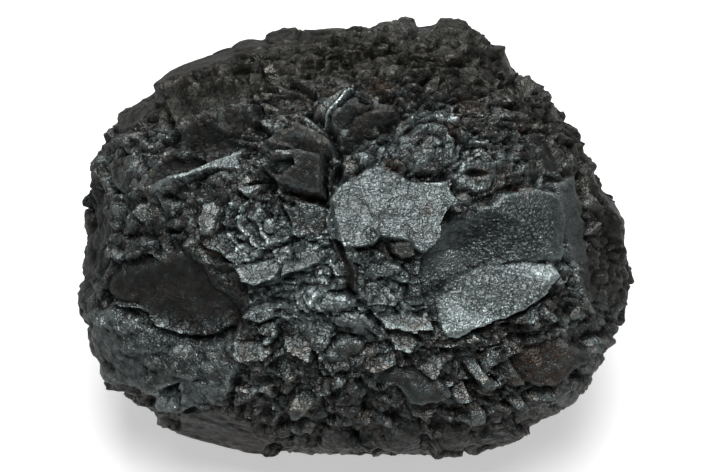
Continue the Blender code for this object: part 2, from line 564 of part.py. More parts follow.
def shaped(rays):
    """The finished stone along the rays, in millimetres, and which points are on its resting face."""
    stone = Stone(rays)
    all_features(stone)
    stone.break_up()
    resting = stone.rest()
    return stone.rays * stone.reach[:, None], resting


def stone_material():
    material = bpy.data.materials.new("black siderite")
    material.use_nodes = True
    shader = material.node_tree.nodes["Principled BSDF"]
    shader.inputs["Base Color"].default_value = (0.03, 0.031, 0.034, 1.0)
    shader.inputs["Roughness"].default_value = 0.42
    shader.inputs["Metallic"].default_value = 0.2
    material.diffuse_color = (0.03, 0.031, 0.034, 1.0)
    return material


def join_resting_face(mesh, resting):
    """Make the flat underside one fan of large triangles in place of many small squares."""
    mesh.verts.ensure_lookup_table()
    flat = [face for face in mesh.faces if all(resting[vertex.index] for vertex in face.verts)]
    joined = bmesh.ops.dissolve_faces(mesh, faces=flat, use_verts=False)["region"]
    bmesh.ops.poke(mesh, faces=joined)


def build_nodule():
    mesh, rays = cube_ball(GRID)
    points, resting = shaped(unit(rays + FRONT_CROWDING * FRONT.toward))
    middle = np.array((*BOX_MIDDLE, -REST_DROP))
    for vertex, point in zip(mesh.verts, (points - middle) * MM):
        vertex.co = point
    join_resting_face(mesh, resting)
    data = bpy.data.meshes.new("nodule")
    mesh.to_mesh(data)
    mesh.free()
    data.polygons.foreach_set("use_smooth", [True] * len(data.polygons))
    nodule = bpy.data.objects.new("nodule", data)
    data.materials.append(stone_material())
    bpy.context.scene.collection.objects.link(nodule)
    return nodule


def main():
    for thing in list(bpy.data.objects):
        bpy.data.objects.remove(thing)
    build_nodule()


main()
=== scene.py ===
"""Siderite nodule: the fine stone surface, its material, the pale floor, the light and the camera.

Metres, +Z up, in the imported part's frame. The form is nearly the one that the part's source gives its
solid, worked out again on a finer grid, with small features and chips that the solid is too coarse for.
It is in millimetres about the stone's middle.
"""

import functools
import math
from types import SimpleNamespace

import bmesh
import bpy
import numpy as np
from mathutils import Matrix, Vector


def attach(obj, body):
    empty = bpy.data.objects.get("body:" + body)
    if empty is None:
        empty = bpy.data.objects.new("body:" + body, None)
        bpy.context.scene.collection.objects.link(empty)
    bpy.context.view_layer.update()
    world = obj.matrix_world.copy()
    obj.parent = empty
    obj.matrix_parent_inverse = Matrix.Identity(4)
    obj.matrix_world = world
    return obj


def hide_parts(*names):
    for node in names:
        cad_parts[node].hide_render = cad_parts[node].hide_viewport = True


MM = 0.001

# Driving sizes, in millimetres
OUTLINE_RADII = (44.0, 40.2, 39.2, 37.2, 34.9, 33.3, 36.2, 40.9, 45.4,
                 44.0, 47.0, 44.9, 39.8, 35.6, 36.6, 40.1, 44.2, 45.2)  # every 20 degrees from the right
FRONT_DEPTH = 31.0
BACK_DEPTH = 34.0
FULLNESS = 2.35
REST_DROP = 30.5
BOX_MIDDLE = (0.2, 0.1)
VIEW_DISTANCE = 500.0
VIEW_ELEVATION = 42.0

# The photograph's scale: its middle and its pixels for each millimetre of the stone
PHOTO_MIDDLE_PX = (356.0, 237.0)
PX_PER_MM = 6.0

# The broad faces that the whole stone is cut by, all round: azimuth, elevation and distance in mm
BROAD_FACES = (
    (62, 28, 39.5),
    (128, 34, 38.0),
    (172, 50, 35.5),
    (158, -6, 36.5),
    (205, 12, 39.0),
    (238, -18, 41.5),
    (248, 38, 41.0),
    (130, -50, 35.5),
    (215, -50, 35.5),
    (5, -77, 33.0),
    (97, -78, 33.4),
    (183, -76, 32.8),
    (262, -78, 33.6),
)
BROAD_BLEND = 1.2

# Light, camera and floor. A softbox has azimuth, elevation, distance and size in metres, and watts
FRAME_PX = (708.0, 472.0)
SENSOR_WIDTH = 36.0
FLOOR_SIZE = 3.0
FLOOR_TONE = 0.9
FLOOR_GLOW = 0.5
GROUND_LIGHT = 0.45
ROOM_LIGHT = 0.12
SOFTBOXES = {
    "overhead": (0, 77, 0.6, 0.36, 2.9),
    "behind": (180, 45, 0.8, 0.6, 2.6),
}

# The stone's look: how it shines, partly its lustre and partly a painted highlight, how deep a hollow is
# where its painted shade is full and how high the warm low part reaches, in mm
PLAIN_LUSTRE_AND_PAINTED_HIGHLIGHT = 0.5
METALLIC = 0.72
PAINTED_SHADE_DEPTH = 0.25
PAINTED_SHADE_ROUNDS = 3
LOW_STONE = 28.0
# The bright colours carry the painted highlight over the lustre; the streaked colour is painted lighter, as
# if the top of the rim were lit at a grazing angle
COLOURS = {
    "dark": (0.034, 0.036, 0.035, 1.0),
    "warm dark": (0.048, 0.042, 0.034, 1.0),
    "streaked_and_painted_rim_light": (0.095, 0.092, 0.073, 1.0),
    "bright": (0.30, 0.355, 0.355, 1.0),
    "warm bright": (0.33, 0.325, 0.305, 1.0),
    "rust": (0.085, 0.043, 0.025, 1.0),
}

# Its fine patterns: their sizes and how high they stand, in mm, leans as a slope and turns in degrees
WANDER = 1.6
COARSE_CHIPS = 1.7
COARSE_LEAN = 0.42
FINE_CHIPS = 0.6
FINE_LEAN = 0.4
HATCH_RATE = 60.0
HATCH_RELIEF = 0.012
CRACK_RELIEF = -0.08
CRINKLES = 1.3
CRINKLE_RELIEF = 0.16
PEBBLES = 0.32
PEBBLE_RELIEF = -0.08
DUST = 0.28
DUST_RELIEF = 0.06
GRAINS = 0.46
GRAIN_TURN = -25.0
GRAIN_STRETCH = 0.7
GRAIN_RELIEF = -0.19
STREAKS = 1.0
STREAK_BREADTH = 6.0
STREAK_RELIEF = 0.35
TONES = 3.0
HUES = 2.2
FLECKS = 0.8

# Surface relief
GRID = 128
FRONT_CROWDING = 0.3
EVENING = 0.5
EVENING_ROUNDS = 3
SHARP_DEGREES = 38
DEEPEST_CUT = 4.0
STEEPEST_RISE = 1.5
RIM_RISE = 0.4
RIM_FLAKES = 0.45
WARP = 0.7
WARP_SIZE = 5.0
JAG = 0.2
JAG_SIZE = 1.4
SLOPE_STEP = 1.5
FLAKES = (
    (6.5, 1.6, 1.0, 0.6, 34.0),
    (3.3, 0.75, 1.5, 0.45, 30.0),
    (1.8, 0.28, 1.5, 0.12, 24.0),
)  # size and height in mm, lean, depth of joint in mm and crispness
MOST_LEAN = 0.6
FLAKE_BENDS = ((0.22, 1.6), (0.07, 4.3))  # how far and how often, in flakes
JOINT_WIDTH = 0.1
JOINTS_OFTEN = 0.6
LAYERING = 1.35
TOP_LAYERING = 1.1
TOP_LAYERS = 14.0


def smooth(x):
    """A smooth step from 0 to 1 as x goes from 0 to 1."""
    x = np.clip(x, 0.0, 1.0)
    return x * x * (3.0 - 2.0 * x)


def unit(vectors):
    return vectors / np.linalg.norm(vectors, axis=-1, keepdims=True)


def chances(cells, seed, count):
    """Repeatable numbers from 0 to 1, so many for every whole-number cell, one row each."""
    x, y, z = (cells[..., i].astype(np.int64).astype(np.uint32) for i in range(3))
    mixed = x * np.uint32(73856093) ^ y * np.uint32(19349663) ^ z * np.uint32(83492791)
    mixed = mixed ^ np.uint32(seed * 40503 + 977)
    rows = []
    for _ in range(count):
        mixed = (mixed ^ (mixed >> np.uint32(15))) * np.uint32(2246822519)
        mixed = (mixed ^ (mixed >> np.uint32(13))) * np.uint32(3266489917)
        mixed = mixed ^ (mixed >> np.uint32(16))
        rows.append((mixed & np.uint32(0xFFFFFF)) / float(0xFFFFFF))
    return rows


def noise(points, seed, count=1):
    """Smooth noise from -1 to 1 with a wavelength of about 1, in so many columns."""
    cell = np.floor(points)
    part = smooth(points - cell)
    total = np.zeros((count, len(points)))
    for corner in np.ndindex(2, 2, 2):
        weight = np.ones(len(points))
        for axis, far in enumerate(corner):
            weight = weight * (part[:, axis] if far else 1.0 - part[:, axis])
        total += weight * np.array(chances(cell + corner, seed, count))
    total = total * 2.0 - 1.0
    return total[0] if count == 1 else total.T


def flakes(points, seed, lean, crispness):
    """Broken rock: the height of each cell's stepped, leaning flake, and how near a joint each point is."""
    cell = np.floor(points)
    height = np.zeros(len(points))
    weight = np.full(len(points), 1e-12)
    nearest = np.full(len(points), 9.0)
    second = nearest.copy()
    for offset in np.ndindex(3, 3, 3):
        there = cell + np.array(offset) - 1
        *numbers, level = chances(there, seed, 7)
        gap = [points[:, i] - there[:, i] - 0.1 - 0.8 * numbers[i] for i in range(3)]
        far = gap[0] ** 2 + gap[1] ** 2 + gap[2] ** 2
        slope = sum(gap[i] * (numbers[3 + i] * 2.0 - 1.0) for i in range(3))
        share = np.exp(-crispness * far)
        height += share * (level - 0.5 + np.clip(lean * slope, -MOST_LEAN, MOST_LEAN))
        weight += share
        second = np.minimum(second, np.maximum(nearest, far))
        nearest = np.minimum(nearest, far)
    return height / weight, np.sqrt(second) - np.sqrt(nearest)


class Sight:
    """A direction that the stone is looked at from, with places on its picture in mm right and up."""

    def __init__(self, azimuth, elevation, middle=(0.0, 0.0), per_mm=(1.0, 1.0)):
        a, e = math.radians(azimuth), math.radians(elevation)
        self.right = np.array((math.cos(a), math.sin(a), 0.0))
        self.toward = np.array((math.sin(a) * math.cos(e), -math.cos(a) * math.cos(e), math.sin(e)))
        self.up = np.cross(self.toward, self.right)
        self.middle = np.array(middle)
        self.per_mm = np.array(per_mm)

    def places(self, points):
        return (np.array(points, float) - self.middle) / self.per_mm

    def picture(self, points):
        near = points @ self.toward
        spread = VIEW_DISTANCE / (VIEW_DISTANCE - near)
        return points @ self.right * spread, points @ self.up * spread


FRONT = Sight(0, VIEW_ELEVATION, PHOTO_MIDDLE_PX, (PX_PER_MM, -PX_PER_MM))
BROAD_SIGHTS = [(Sight(azimuth, elevation).toward, distance) for azimuth, elevation, distance in BROAD_FACES]
BACK = Sight(180, 20)
RIGHT_END = Sight(90, 8)
LEFT_END = Sight(270, 8)
TOP = Sight(0, 85)
UNDER = Sight(0, -75)


def outline_radius(angle):
    """The outline's radius at an angle, by a closed Catmull-Rom curve through its radii."""
    radii = np.array(OUTLINE_RADII)
    turn = angle / (2.0 * math.pi) * len(radii)
    first = np.floor(turn).astype(int)
    t = turn - first
    a, b, c, d = (radii[(first + k) % len(radii)] for k in (-1, 0, 1, 2))
    return b + 0.5 * t * (c - a + t * (2.0 * a - 5.0 * b + 4.0 * c - d + t * (3.0 * (b - c) + d - a)))


def body(rays):
    """How far the plain body, cut by its broad faces, reaches along each ray from the middle."""
    ahead = rays @ FRONT.toward
    aside = np.sqrt(np.clip(1.0 - ahead * ahead, 0.0, 1.0))
    angle = np.arctan2(rays @ FRONT.up, rays @ FRONT.right)
    depth = np.where(ahead > 0.0, FRONT_DEPTH, BACK_DEPTH)
    share = (aside / outline_radius(angle)) ** FULLNESS + (np.abs(ahead) / depth) ** FULLNESS
    reach = share ** (-1.0 / FULLNESS)
    for toward, distance in BROAD_SIGHTS:
        plane = distance / np.maximum(rays @ toward, 0.1)
        near = np.clip(0.5 + 0.5 * (plane - reach) / BROAD_BLEND, 0.0, 1.0)
        reach = plane * (1.0 - near) + reach * near - BROAD_BLEND * near * (1.0 - near)
    return reach


@functools.cache
def surface_point(sight, right, up):
    """The point of the plain body seen at a place of a sight's picture."""
    near = 25.0
    for _ in range(12):
        shrink = (VIEW_DISTANCE - near) / VIEW_DISTANCE
        across = (right * sight.right + up * sight.up) * shrink
        reach = body(unit(across + near * sight.toward)[None])[0]
        near += 0.8 * (math.sqrt(max(reach * reach - across @ across, 4.0)) - near)
    return across + near * sight.toward


def inside(u, v, outline):
    """How far inside a closed outline each place is, in mm, and below 0 outside it."""
    within = np.zeros(len(u), bool)
    nearest = np.full(len(u), 1e9)
    for (x0, y0), (x1, y1) in zip(outline, np.roll(outline, -1, axis=0)):
        dx, dy = x1 - x0, y1 - y0
        t = np.clip(((u - x0) * dx + (v - y0) * dy) / (dx * dx + dy * dy), 0.0, 1.0)
        nearest = np.minimum(nearest, np.hypot(u - x0 - t * dx, v - y0 - t * dy))
        if dy:
            crossing = ((y0 > v) != (y1 > v)) & (u < dx * (v - y0) / dy + x0)
            within ^= crossing
    return np.where(within, nearest, -nearest)


def along(u, v, line):
    """For each place, the distance from an open line, the side it is on and how far along it lies."""
    nearest = np.full(len(u), 1e9)
    side = np.zeros(len(u))
    share = np.zeros(len(u))
    lengths = np.hypot(*np.diff(line, axis=0).T)
    done = 0.0
    for (x0, y0), (x1, y1), length in zip(line[:-1], line[1:], lengths):
        dx, dy = x1 - x0, y1 - y0
        t = np.clip(((u - x0) * dx + (v - y0) * dy) / length ** 2, 0.0, 1.0)
        gap = np.hypot(u - x0 - t * dx, v - y0 - t * dy)
        closer = gap < nearest
        nearest = np.where(closer, gap, nearest)
        side = np.where(closer, np.sign(dx * (v - y0) - dy * (u - x0)), side)
        share = np.where(closer, (done + t * length) / lengths.sum(), share)
        done += length
    return nearest, side, share


class Stone:
    """The stone's surface along many rays, worked on feature by feature."""

    def __init__(self, rays):
        self.rays = rays
        self.plain = body(rays)
        self.reach = self.plain.copy()
        start = rays * self.plain[:, None]
        self.start = start + WARP * noise(start / WARP_SIZE, 100, 3) + JAG * noise(start / JAG_SIZE, 110, 3)
        self.room = RIM_RISE + (1.0 - RIM_RISE) * smooth(2.0 * np.abs(rays @ FRONT.toward))
        self.rough = np.ones(len(rays))
        # Lustre with a painted highlight: it makes the colour brighter, and over 1 paints a glint
        self.sheen = np.full(len(rays), PLAIN_LUSTRE_AND_PAINTED_HIGHLIGHT)
        self.rust = np.zeros(len(rays))
        self.grain = np.zeros(len(rays))
        # The streaks lie round the top of the rim as the camera sees it, where their colour is painted
        # lighter as if lit at a grazing angle
        ahead = rays @ FRONT.toward
        above = rays @ FRONT.up + 0.35 * (rays @ FRONT.right)
        rim = smooth((0.55 + 0.6 * np.maximum(rays @ FRONT.up - 0.3, 0.0) - ahead) / 0.25)
        self.streaks = rim * smooth((ahead + 0.7) / 0.3) * smooth((above + 0.05) / 0.3)
        self.calm = 1.0 - smooth(1.0 - np.abs(ahead) / 0.4)

    def seen(self, sight):
        u, v = sight.picture(self.start)
        return u, v, smooth((self.rays @ sight.toward + 0.12) / 0.2)

    def settle(self, cover, rough):
        if rough is not None:
            self.rough = self.rough * (1.0 - cover) + rough * cover

    def facet(self, sight, outline, lift=0.0, tilt=None, bowl=0.0, edge=0.8, rough=0.15):
        """A flat or hollow face inside an outline, laid on the body there and lifted.

        Its tilt is in degrees to the right and up from facing the sight. With none it lies as the body does.
        Gives how much each point belongs to the face.
        """
        outline = sight.places(outline)
        u, v, facing = self.seen(sight)
        depth = inside(u, v, outline)
        cover = smooth(0.5 + depth / edge) * facing
        middle = outline.mean(0)
        point = surface_point(sight, *middle)
        if tilt is None:
            slopes = []
            for axis in np.eye(2) * SLOPE_STEP:
                rise = surface_point(sight, *middle + axis) - surface_point(sight, *middle - axis)
                slopes.append(rise @ sight.toward / (2.0 * SLOPE_STEP))
        else:
            slopes = [-math.tan(math.radians(angle)) for angle in tilt]
        normal = sight.toward - slopes[0] * sight.right - slopes[1] * sight.up
        point = point + lift * sight.toward
        flat = (point @ normal) / np.maximum(self.rays @ normal, 0.15)
        flat = flat - bowl * smooth(depth / max(depth.max(), 1.0))
        highest = self.plain + (max(lift, 0.0) + STEEPEST_RISE) * self.room
        flat = np.clip(flat, self.plain - DEEPEST_CUT, highest)
        self.reach = self.reach * (1.0 - cover) + flat * cover
        self.settle(cover, rough)
        return cover

    def lump(self, sight, place, size, height, turn=0.0, power=1.0, rough=None):
        """A raised lump, or a pit where the height is below 0, on an ellipse."""
        x, y = sight.places(place)
        u, v, facing = self.seen(sight)
        c, s = math.cos(math.radians(turn)), math.sin(math.radians(turn))
        p, q = (u - x) * c + (v - y) * s, (v - y) * c - (u - x) * s
        fall = np.clip(1.0 - (p / size[0]) ** 2 - (q / size[1]) ** 2, 0.0, 1.0)
        self.reach = self.reach + height * fall ** power * facing
        self.settle(smooth(3.0 * fall) * facing, rough)

    def seam(self, sight, line, width, height, power=1.0, rough=None):
        """A ridge along a line, or a groove where the height is below 0."""
        u, v, facing = self.seen(sight)
        gap, _, share = along(u, v, sight.places(line))
        ends = smooth(share / 0.08) * smooth((1.0 - share) / 0.08)
        fall = np.clip(1.0 - gap / width, 0.0, 1.0) ** power * facing * (0.3 + 0.7 * ends)
        self.reach = self.reach + height * fall
        self.settle(smooth(2.0 * fall), rough)

    def ledge(self, sight, line, height, fade, edge=0.6, rough=None):
        """A step that is high on the left of a line and fades out away from it."""
        u, v, facing = self.seen(sight)
        gap, side, share = along(u, v, sight.places(line))
        ends = smooth(share / 0.15) * smooth((1.0 - share) / 0.15)
        signed = gap * side
        rise = smooth(0.5 + signed / edge) * np.clip(1.0 - signed / fade, 0.0, 1.0)
        self.reach = self.reach + height * rise * ends * facing
        self.settle(rise * ends * facing, rough)

    def patch(self, sight, place, size):
        """How much each point belongs to a soft-edged elliptical patch."""
        x, y = sight.places(place)
        u, v, facing = self.seen(sight)
        return smooth(1.5 - 1.5 * np.hypot((u - x) / size[0], (v - y) / size[1])) * facing

    def stain_and_paint_light(self):
        """Make the stone duller with painted shade and brighter with a painted highlight, and rusty and
        grainy, in broad patches.
        """
        for place, size, change in LUSTRE_AND_PAINTED_LIGHT_PATCHES.values():
            self.sheen = self.sheen + change * self.patch(FRONT, place, size)
        for place, size, strength in RUST_SPOTS.values():
            self.rust = np.maximum(self.rust, strength * self.patch(FRONT, place, size))
        for place, size, strength in GRAINY_PATCHES.values():
            self.grain = np.maximum(self.grain, strength * self.patch(FRONT, place, size))

    def streak(self, sight, line, width, change):
        """Paint a highlight, or shade, along a line, as more or less of the lustre and painted highlight."""
        u, v, facing = self.seen(sight)
        gap, _, _ = along(u, v, sight.places(line))
        self.sheen = self.sheen + change * smooth(1.5 - 1.5 * gap / width) * facing

    def break_up(self):
        """Break the rough parts of the surface into flakes and chips with joints between them."""
        loose = self.rough > 0.02
        flat = self.rays[loose] * self.reach[loose, None]
        up = flat @ FRONT.up
        squeeze = (LAYERING - 1.0) * up + TOP_LAYERING * np.maximum(up - TOP_LAYERS, 0.0)
        flat = flat + squeeze[:, None] * FRONT.up
        relief = np.zeros(len(flat))
        for number, (size, height, lean, joint, crispness) in enumerate(FLAKES):
            points = flat / size
            seed = 300 + 20 * number
            bent = points.copy()
            for turn, (far, often) in enumerate(FLAKE_BENDS):
                bent += far * noise(points * often, seed + turn, 3)
            step, gap = flakes(bent, seed, lean, crispness)
            cracked = smooth(noise(points * JOINTS_OFTEN, seed + 9) + 0.5)
            calm = 1.0 if not number else self.calm[loose] * (1.0 - RIM_FLAKES) + RIM_FLAKES
            relief += calm * (height * step - joint * np.clip(1.0 - gap / JOINT_WIDTH, 0.0, 1.0) * cracked)
        self.reach[loose] += self.rough[loose] * relief

    def rest(self):
        """Cut the underside flat where the stone rests."""
        down = -self.rays[:, 2]
        floor = np.where(down > 0.05, REST_DROP / np.maximum(down, 0.05), 1e9)
        resting = self.reach >= floor
        self.reach = np.minimum(self.reach, floor)
        return resting


# Faces read from the photograph: outline in its pixels, then lift in mm, tilt in degrees (None follows the
# body), bowl in mm, width of the edge in mm and roughness
FRONT_FACES = {
    "left slab": (((112, 302), (140, 312), (170, 333), (200, 338), (234, 334), (240, 352), (234, 380),
                   (224, 402), (182, 410), (150, 386), (120, 384), (100, 360), (95, 330)),
                  -0.2, (-20, 2), -0.6, 1.2, 0.33),
    "beside left scoop": (((200, 256), (226, 266), (241, 282), (247, 300), (240, 313), (222, 300),
                           (205, 286)), -0.9, (-10, -10), 0.2, 1.4, 0.4),
    "left scoop": (((106, 286), (120, 268), (145, 263), (168, 256), (192, 253), (203, 264), (208, 286),
                    (222, 298), (238, 312), (241, 325), (232, 334), (200, 334), (170, 328), (140, 310),
                    (112, 297)), -1.8, (-12, -17), 0.8, 3.2, 0.08),
    "low slab": (((182, 412), (224, 403), (246, 420), (272, 440), (266, 455), (210, 446), (180, 432)),
                 -0.2, None, 0.2, 1.0, 0.2),
    "slab columns": (((160, 384), (182, 382), (186, 402), (176, 408), (164, 405)),
                     0.6, (-8, 6), 0.0, 0.6, 0.3),
    "upper slope": (((165, 102), (180, 88), (205, 84), (240, 82), (262, 84), (262, 96), (225, 106),
                     (190, 116), (170, 124)), -0.5, None, 0.6, 1.2, 0.35),
    "upper slab": (((158, 87), (178, 70), (198, 58), (222, 46), (247, 37), (264, 32), (274, 38), (260, 54),
                    (240, 58), (215, 67), (195, 73), (180, 82), (164, 94)), 0.5, None, 0.2, 0.8, 0.12),
    "upper left wedge": (((118, 112), (134, 98), (149, 91), (148, 112), (134, 122), (120, 128)),
                         0.3, None, 0.2, 0.8, 0.15),
    "hollow above band": (((192, 128), (222, 125), (240, 130), (236, 143), (226, 152), (205, 157), (188, 154),
                           (178, 150)), -1.1, (0, -8), 0.6, 1.6, 0.2),
    "hollow left of band": (((164, 162), (186, 153), (200, 160), (182, 170), (166, 184), (150, 190),
                             (147, 180)), -0.9, (-4, 4), 0.5, 0.8, 0.08),
    "bright band": (((230, 152), (243, 143), (241, 151), (237, 160), (240, 168), (228, 172), (212, 171),
                     (200, 176), (186, 185), (170, 195), (157, 199), (160, 191), (178, 181), (195, 171),
                     (212, 161)), 0.9, (-6, 26), 0.0, 0.6, 0.1),
    "dark lens": (((203, 119), (225, 110), (248, 106), (259, 112), (252, 124), (238, 130), (218, 127)),
                  0.2, (-4, 0), -0.3, 1.2, 0.2),
    "band block": (((240, 192), (252, 184), (264, 179), (262, 187), (248, 197)), 0.5, (0, 25), 0.0, 0.5, 0.1),
    "shoulder": (((345, 137), (352, 118), (374, 108), (392, 111), (396, 121), (380, 127), (362, 140),
                  (347, 148), (340, 146)), 0.4, (0, -10), -0.3, 1.6, 0.15),
    "slab beside glint": (((301, 120), (328, 100), (348, 92), (351, 99), (336, 110), (325, 125), (316, 129)),
                          0.8, (-14, 22), 0.0, 0.6, 0.12),
    "face under glint": (((327, 128), (336, 115), (352, 105), (370, 109), (372, 114), (354, 119), (342, 129),
                          (336, 138)), 0.8, (14, -8), -0.2, 0.7, 0.15),
    "nose top": (((264, 152), (280, 139), (302, 131), (320, 133), (333, 143), (337, 152), (322, 157),
                  (300, 160), (280, 160)), 1.7, (-3, 0), -0.5, 1.0, 0.1),
    "nose face": (((280, 162), (300, 159), (322, 156), (325, 174), (323, 193), (303, 191), (284, 186),
                   (272, 174)), 2.3, (4, -6), -0.3, 0.6, 0.05),
    "nose wedge": (((279, 166), (299, 168), (300, 172), (288, 180), (278, 178)),
                   0.9, (0, -20), 0.0, 0.5, 0.1),
    "centre face": (((352, 178), (366, 161), (380, 162), (400, 173), (445, 183), (455, 207), (440, 226),
                     (437, 240), (425, 252), (408, 240), (382, 238), (366, 246), (336, 248), (325, 215),
                     (328, 195), (340, 185)), 0.1, (2, 10), 0.1, 1.0, 0.12),
    "recessed block": (((391, 241), (414, 240), (418, 253), (403, 258), (393, 251)),
                       0.6, (0, -6), 0.0, 0.5, 0.1),
    "dark strip": (((331, 238), (341, 243), (352, 268), (361, 294), (353, 297), (342, 270)),
                   -0.4, (6, -4), 0.1, 0.5, 0.1),
    "face by oval": (((142, 205), (158, 202), (160, 216), (148, 222), (138, 214)),
                     0.0, (-8, 4), 0.1, 0.6, 0.1),
    "pale oval": (((204, 209), (213, 203), (220, 212), (221, 230), (216, 239), (206, 239), (201, 225)),
                  0.8, (-6, 12), -0.2, 0.6, 0.08),
    "hatched face": (((288, 206), (308, 198), (326, 204), (327, 230), (314, 240), (296, 232)),
                     0.0, (4, -4), 0.0, 0.7, 0.3),
    "bright face 1": (((236, 267), (250, 260), (272, 259), (283, 266), (280, 278), (262, 282), (246, 279)),
                      0.6, (0, 20), 0.0, 0.6, 0.15),
    "bright face 2": (((284, 262), (300, 261), (322, 249), (327, 258), (306, 270), (285, 278)),
                      0.5, (0, 20), 0.0, 0.6, 0.15),
    "bright face 3": (((291, 298), (300, 295), (316, 308), (312, 314), (299, 310)),
                      0.5, (-6, 18), 0.0, 0.5, 0.15),
    "dark wedge": (((203, 250), (222, 254), (234, 264), (212, 261)), -0.8, (0, -18), 0.0, 0.5, 0.1),
    "scoop wall": (((465, 215), (500, 195), (530, 190), (555, 200), (562, 225), (557, 259), (522, 262),
                    (470, 280), (440, 294), (424, 300), (420, 280), (430, 255), (445, 230)),
                   -1.7, (2, -24), 1.0, 1.6, 0.07),
    "scoop slope": (((433, 300), (470, 279), (500, 267), (530, 260), (550, 262), (557, 272), (545, 293),
                     (515, 312), (480, 322), (455, 336), (442, 334), (435, 318)),
                    -0.4, (4, 19), -0.2, 0.6, 0.08),
    "right strip": (((553, 186), (570, 178), (580, 200), (584, 228), (592, 262), (574, 264), (565, 230)),
                    0.2, None, 0.3, 0.9, 0.08),
    "arc scale": (((402, 128), (430, 120), (450, 126), (460, 145), (458, 160), (440, 174), (412, 172),
                   (398, 158)), 0.5, None, -0.8, 0.9, 0.35),
    "dark side face": (((540, 143), (556, 141), (563, 160), (558, 174), (546, 176), (540, 160)),
                       -0.2, None, 0.2, 0.6, 0.2),
    "top right facet": (((488, 48), (503, 46), (521, 66), (534, 78), (520, 82), (505, 66)),
                        0.5, None, 0.1, 0.7, 0.1),
    "top right block": (((501, 82), (520, 80), (536, 79), (542, 90), (530, 95), (504, 92)),
                        0.6, (10, 24), 0.0, 0.6, 0.12),
    "crest block": (((372, 23), (379, 15), (430, 17), (434, 36), (408, 44), (383, 42)),
                    0.6, None, 0.0, 0.8, 0.6),
    "crest recess": (((382, 63), (397, 60), (400, 76), (385, 78)), -1.0, (0, 5), 0.0, 0.4, 0.1),
    "crest pale block": (((264, 72), (278, 69), (282, 81), (267, 84)), 0.4, (0, 4), 0.0, 0.5, 0.1),
    "low shelf": (((377, 317), (410, 313), (425, 315), (428, 325), (408, 328), (384, 327)),
                  0.9, (0, 26), 0.0, 0.5, 0.1),
    "shelf block": (((386, 332), (408, 330), (416, 339), (408, 350), (394, 348)),
                    0.4, (0, 18), 0.0, 0.5, 0.12),
    "shelf side": (((412, 325), (427, 325), (430, 334), (421, 340)), 0.5, (16, 8), 0.0, 0.5, 0.2),
    "step 1": (((234, 341), (262, 340), (273, 352), (262, 358), (242, 355)), 0.7, (-3, 18), 0.0, 0.5, 0.15),
    "step 2": (((283, 338), (298, 335), (311, 340), (313, 356), (298, 353), (284, 348)),
               0.6, (3, 18), 0.0, 0.5, 0.15),
    "step 3": (((294, 396), (304, 387), (319, 390), (316, 402), (304, 410), (296, 406)),
               0.7, (6, 10), 0.0, 0.5, 0.15),
    "step 4": (((418, 373), (430, 362), (449, 351), (453, 360), (440, 369), (426, 377)),
               0.5, (4, 18), 0.0, 0.5, 0.2),
    "step 5": (((361, 363), (378, 354), (398, 351), (396, 362), (372, 369)), 0.5, (-4, 18), 0.0, 0.5, 0.2),
    "low convex": (((366, 372), (388, 366), (414, 368), (438, 380), (447, 392), (432, 400), (406, 399),
                    (398, 386), (382, 379)), 0.5, (2, -6), -0.6, 1.0, 0.08),
    "low pale": (((402, 403), (426, 400), (442, 404), (436, 412), (420, 418), (408, 415)),
                 0.3, (0, 6), 0.0, 0.6, 0.12),
    "red block": (((509, 358), (525, 348), (560, 338), (575, 341), (573, 354), (560, 366), (548, 381),
                   (522, 380)), 1.1, (6, -4), -0.2, 0.7, 0.2),
    "red block side": (((490, 365), (508, 360), (521, 379), (508, 379)), 0.7, (-22, -6), 0.0, 0.5, 0.15),
    "pale block 1": (((466, 363), (476, 362), (489, 376), (481, 384), (468, 373)),
                     0.8, (-6, 10), 0.0, 0.4, 0.1),
    "pale block 2": (((528, 390), (545, 387), (551, 395), (532, 398)), 0.6, (2, 16), 0.0, 0.4, 0.1),
    "pale block 3": (((508, 393), (520, 391), (523, 400), (510, 402)), 0.5, (2, 12), 0.0, 0.4, 0.1),
    "pale block 4": (((446, 386), (466, 383), (468, 396), (452, 400)), 0.5, (0, 8), 0.0, 0.5, 0.15),
    "pale block 5": (((464, 404), (478, 400), (480, 416), (468, 420)), 0.5, (0, 2), 0.0, 0.5, 0.15),
}

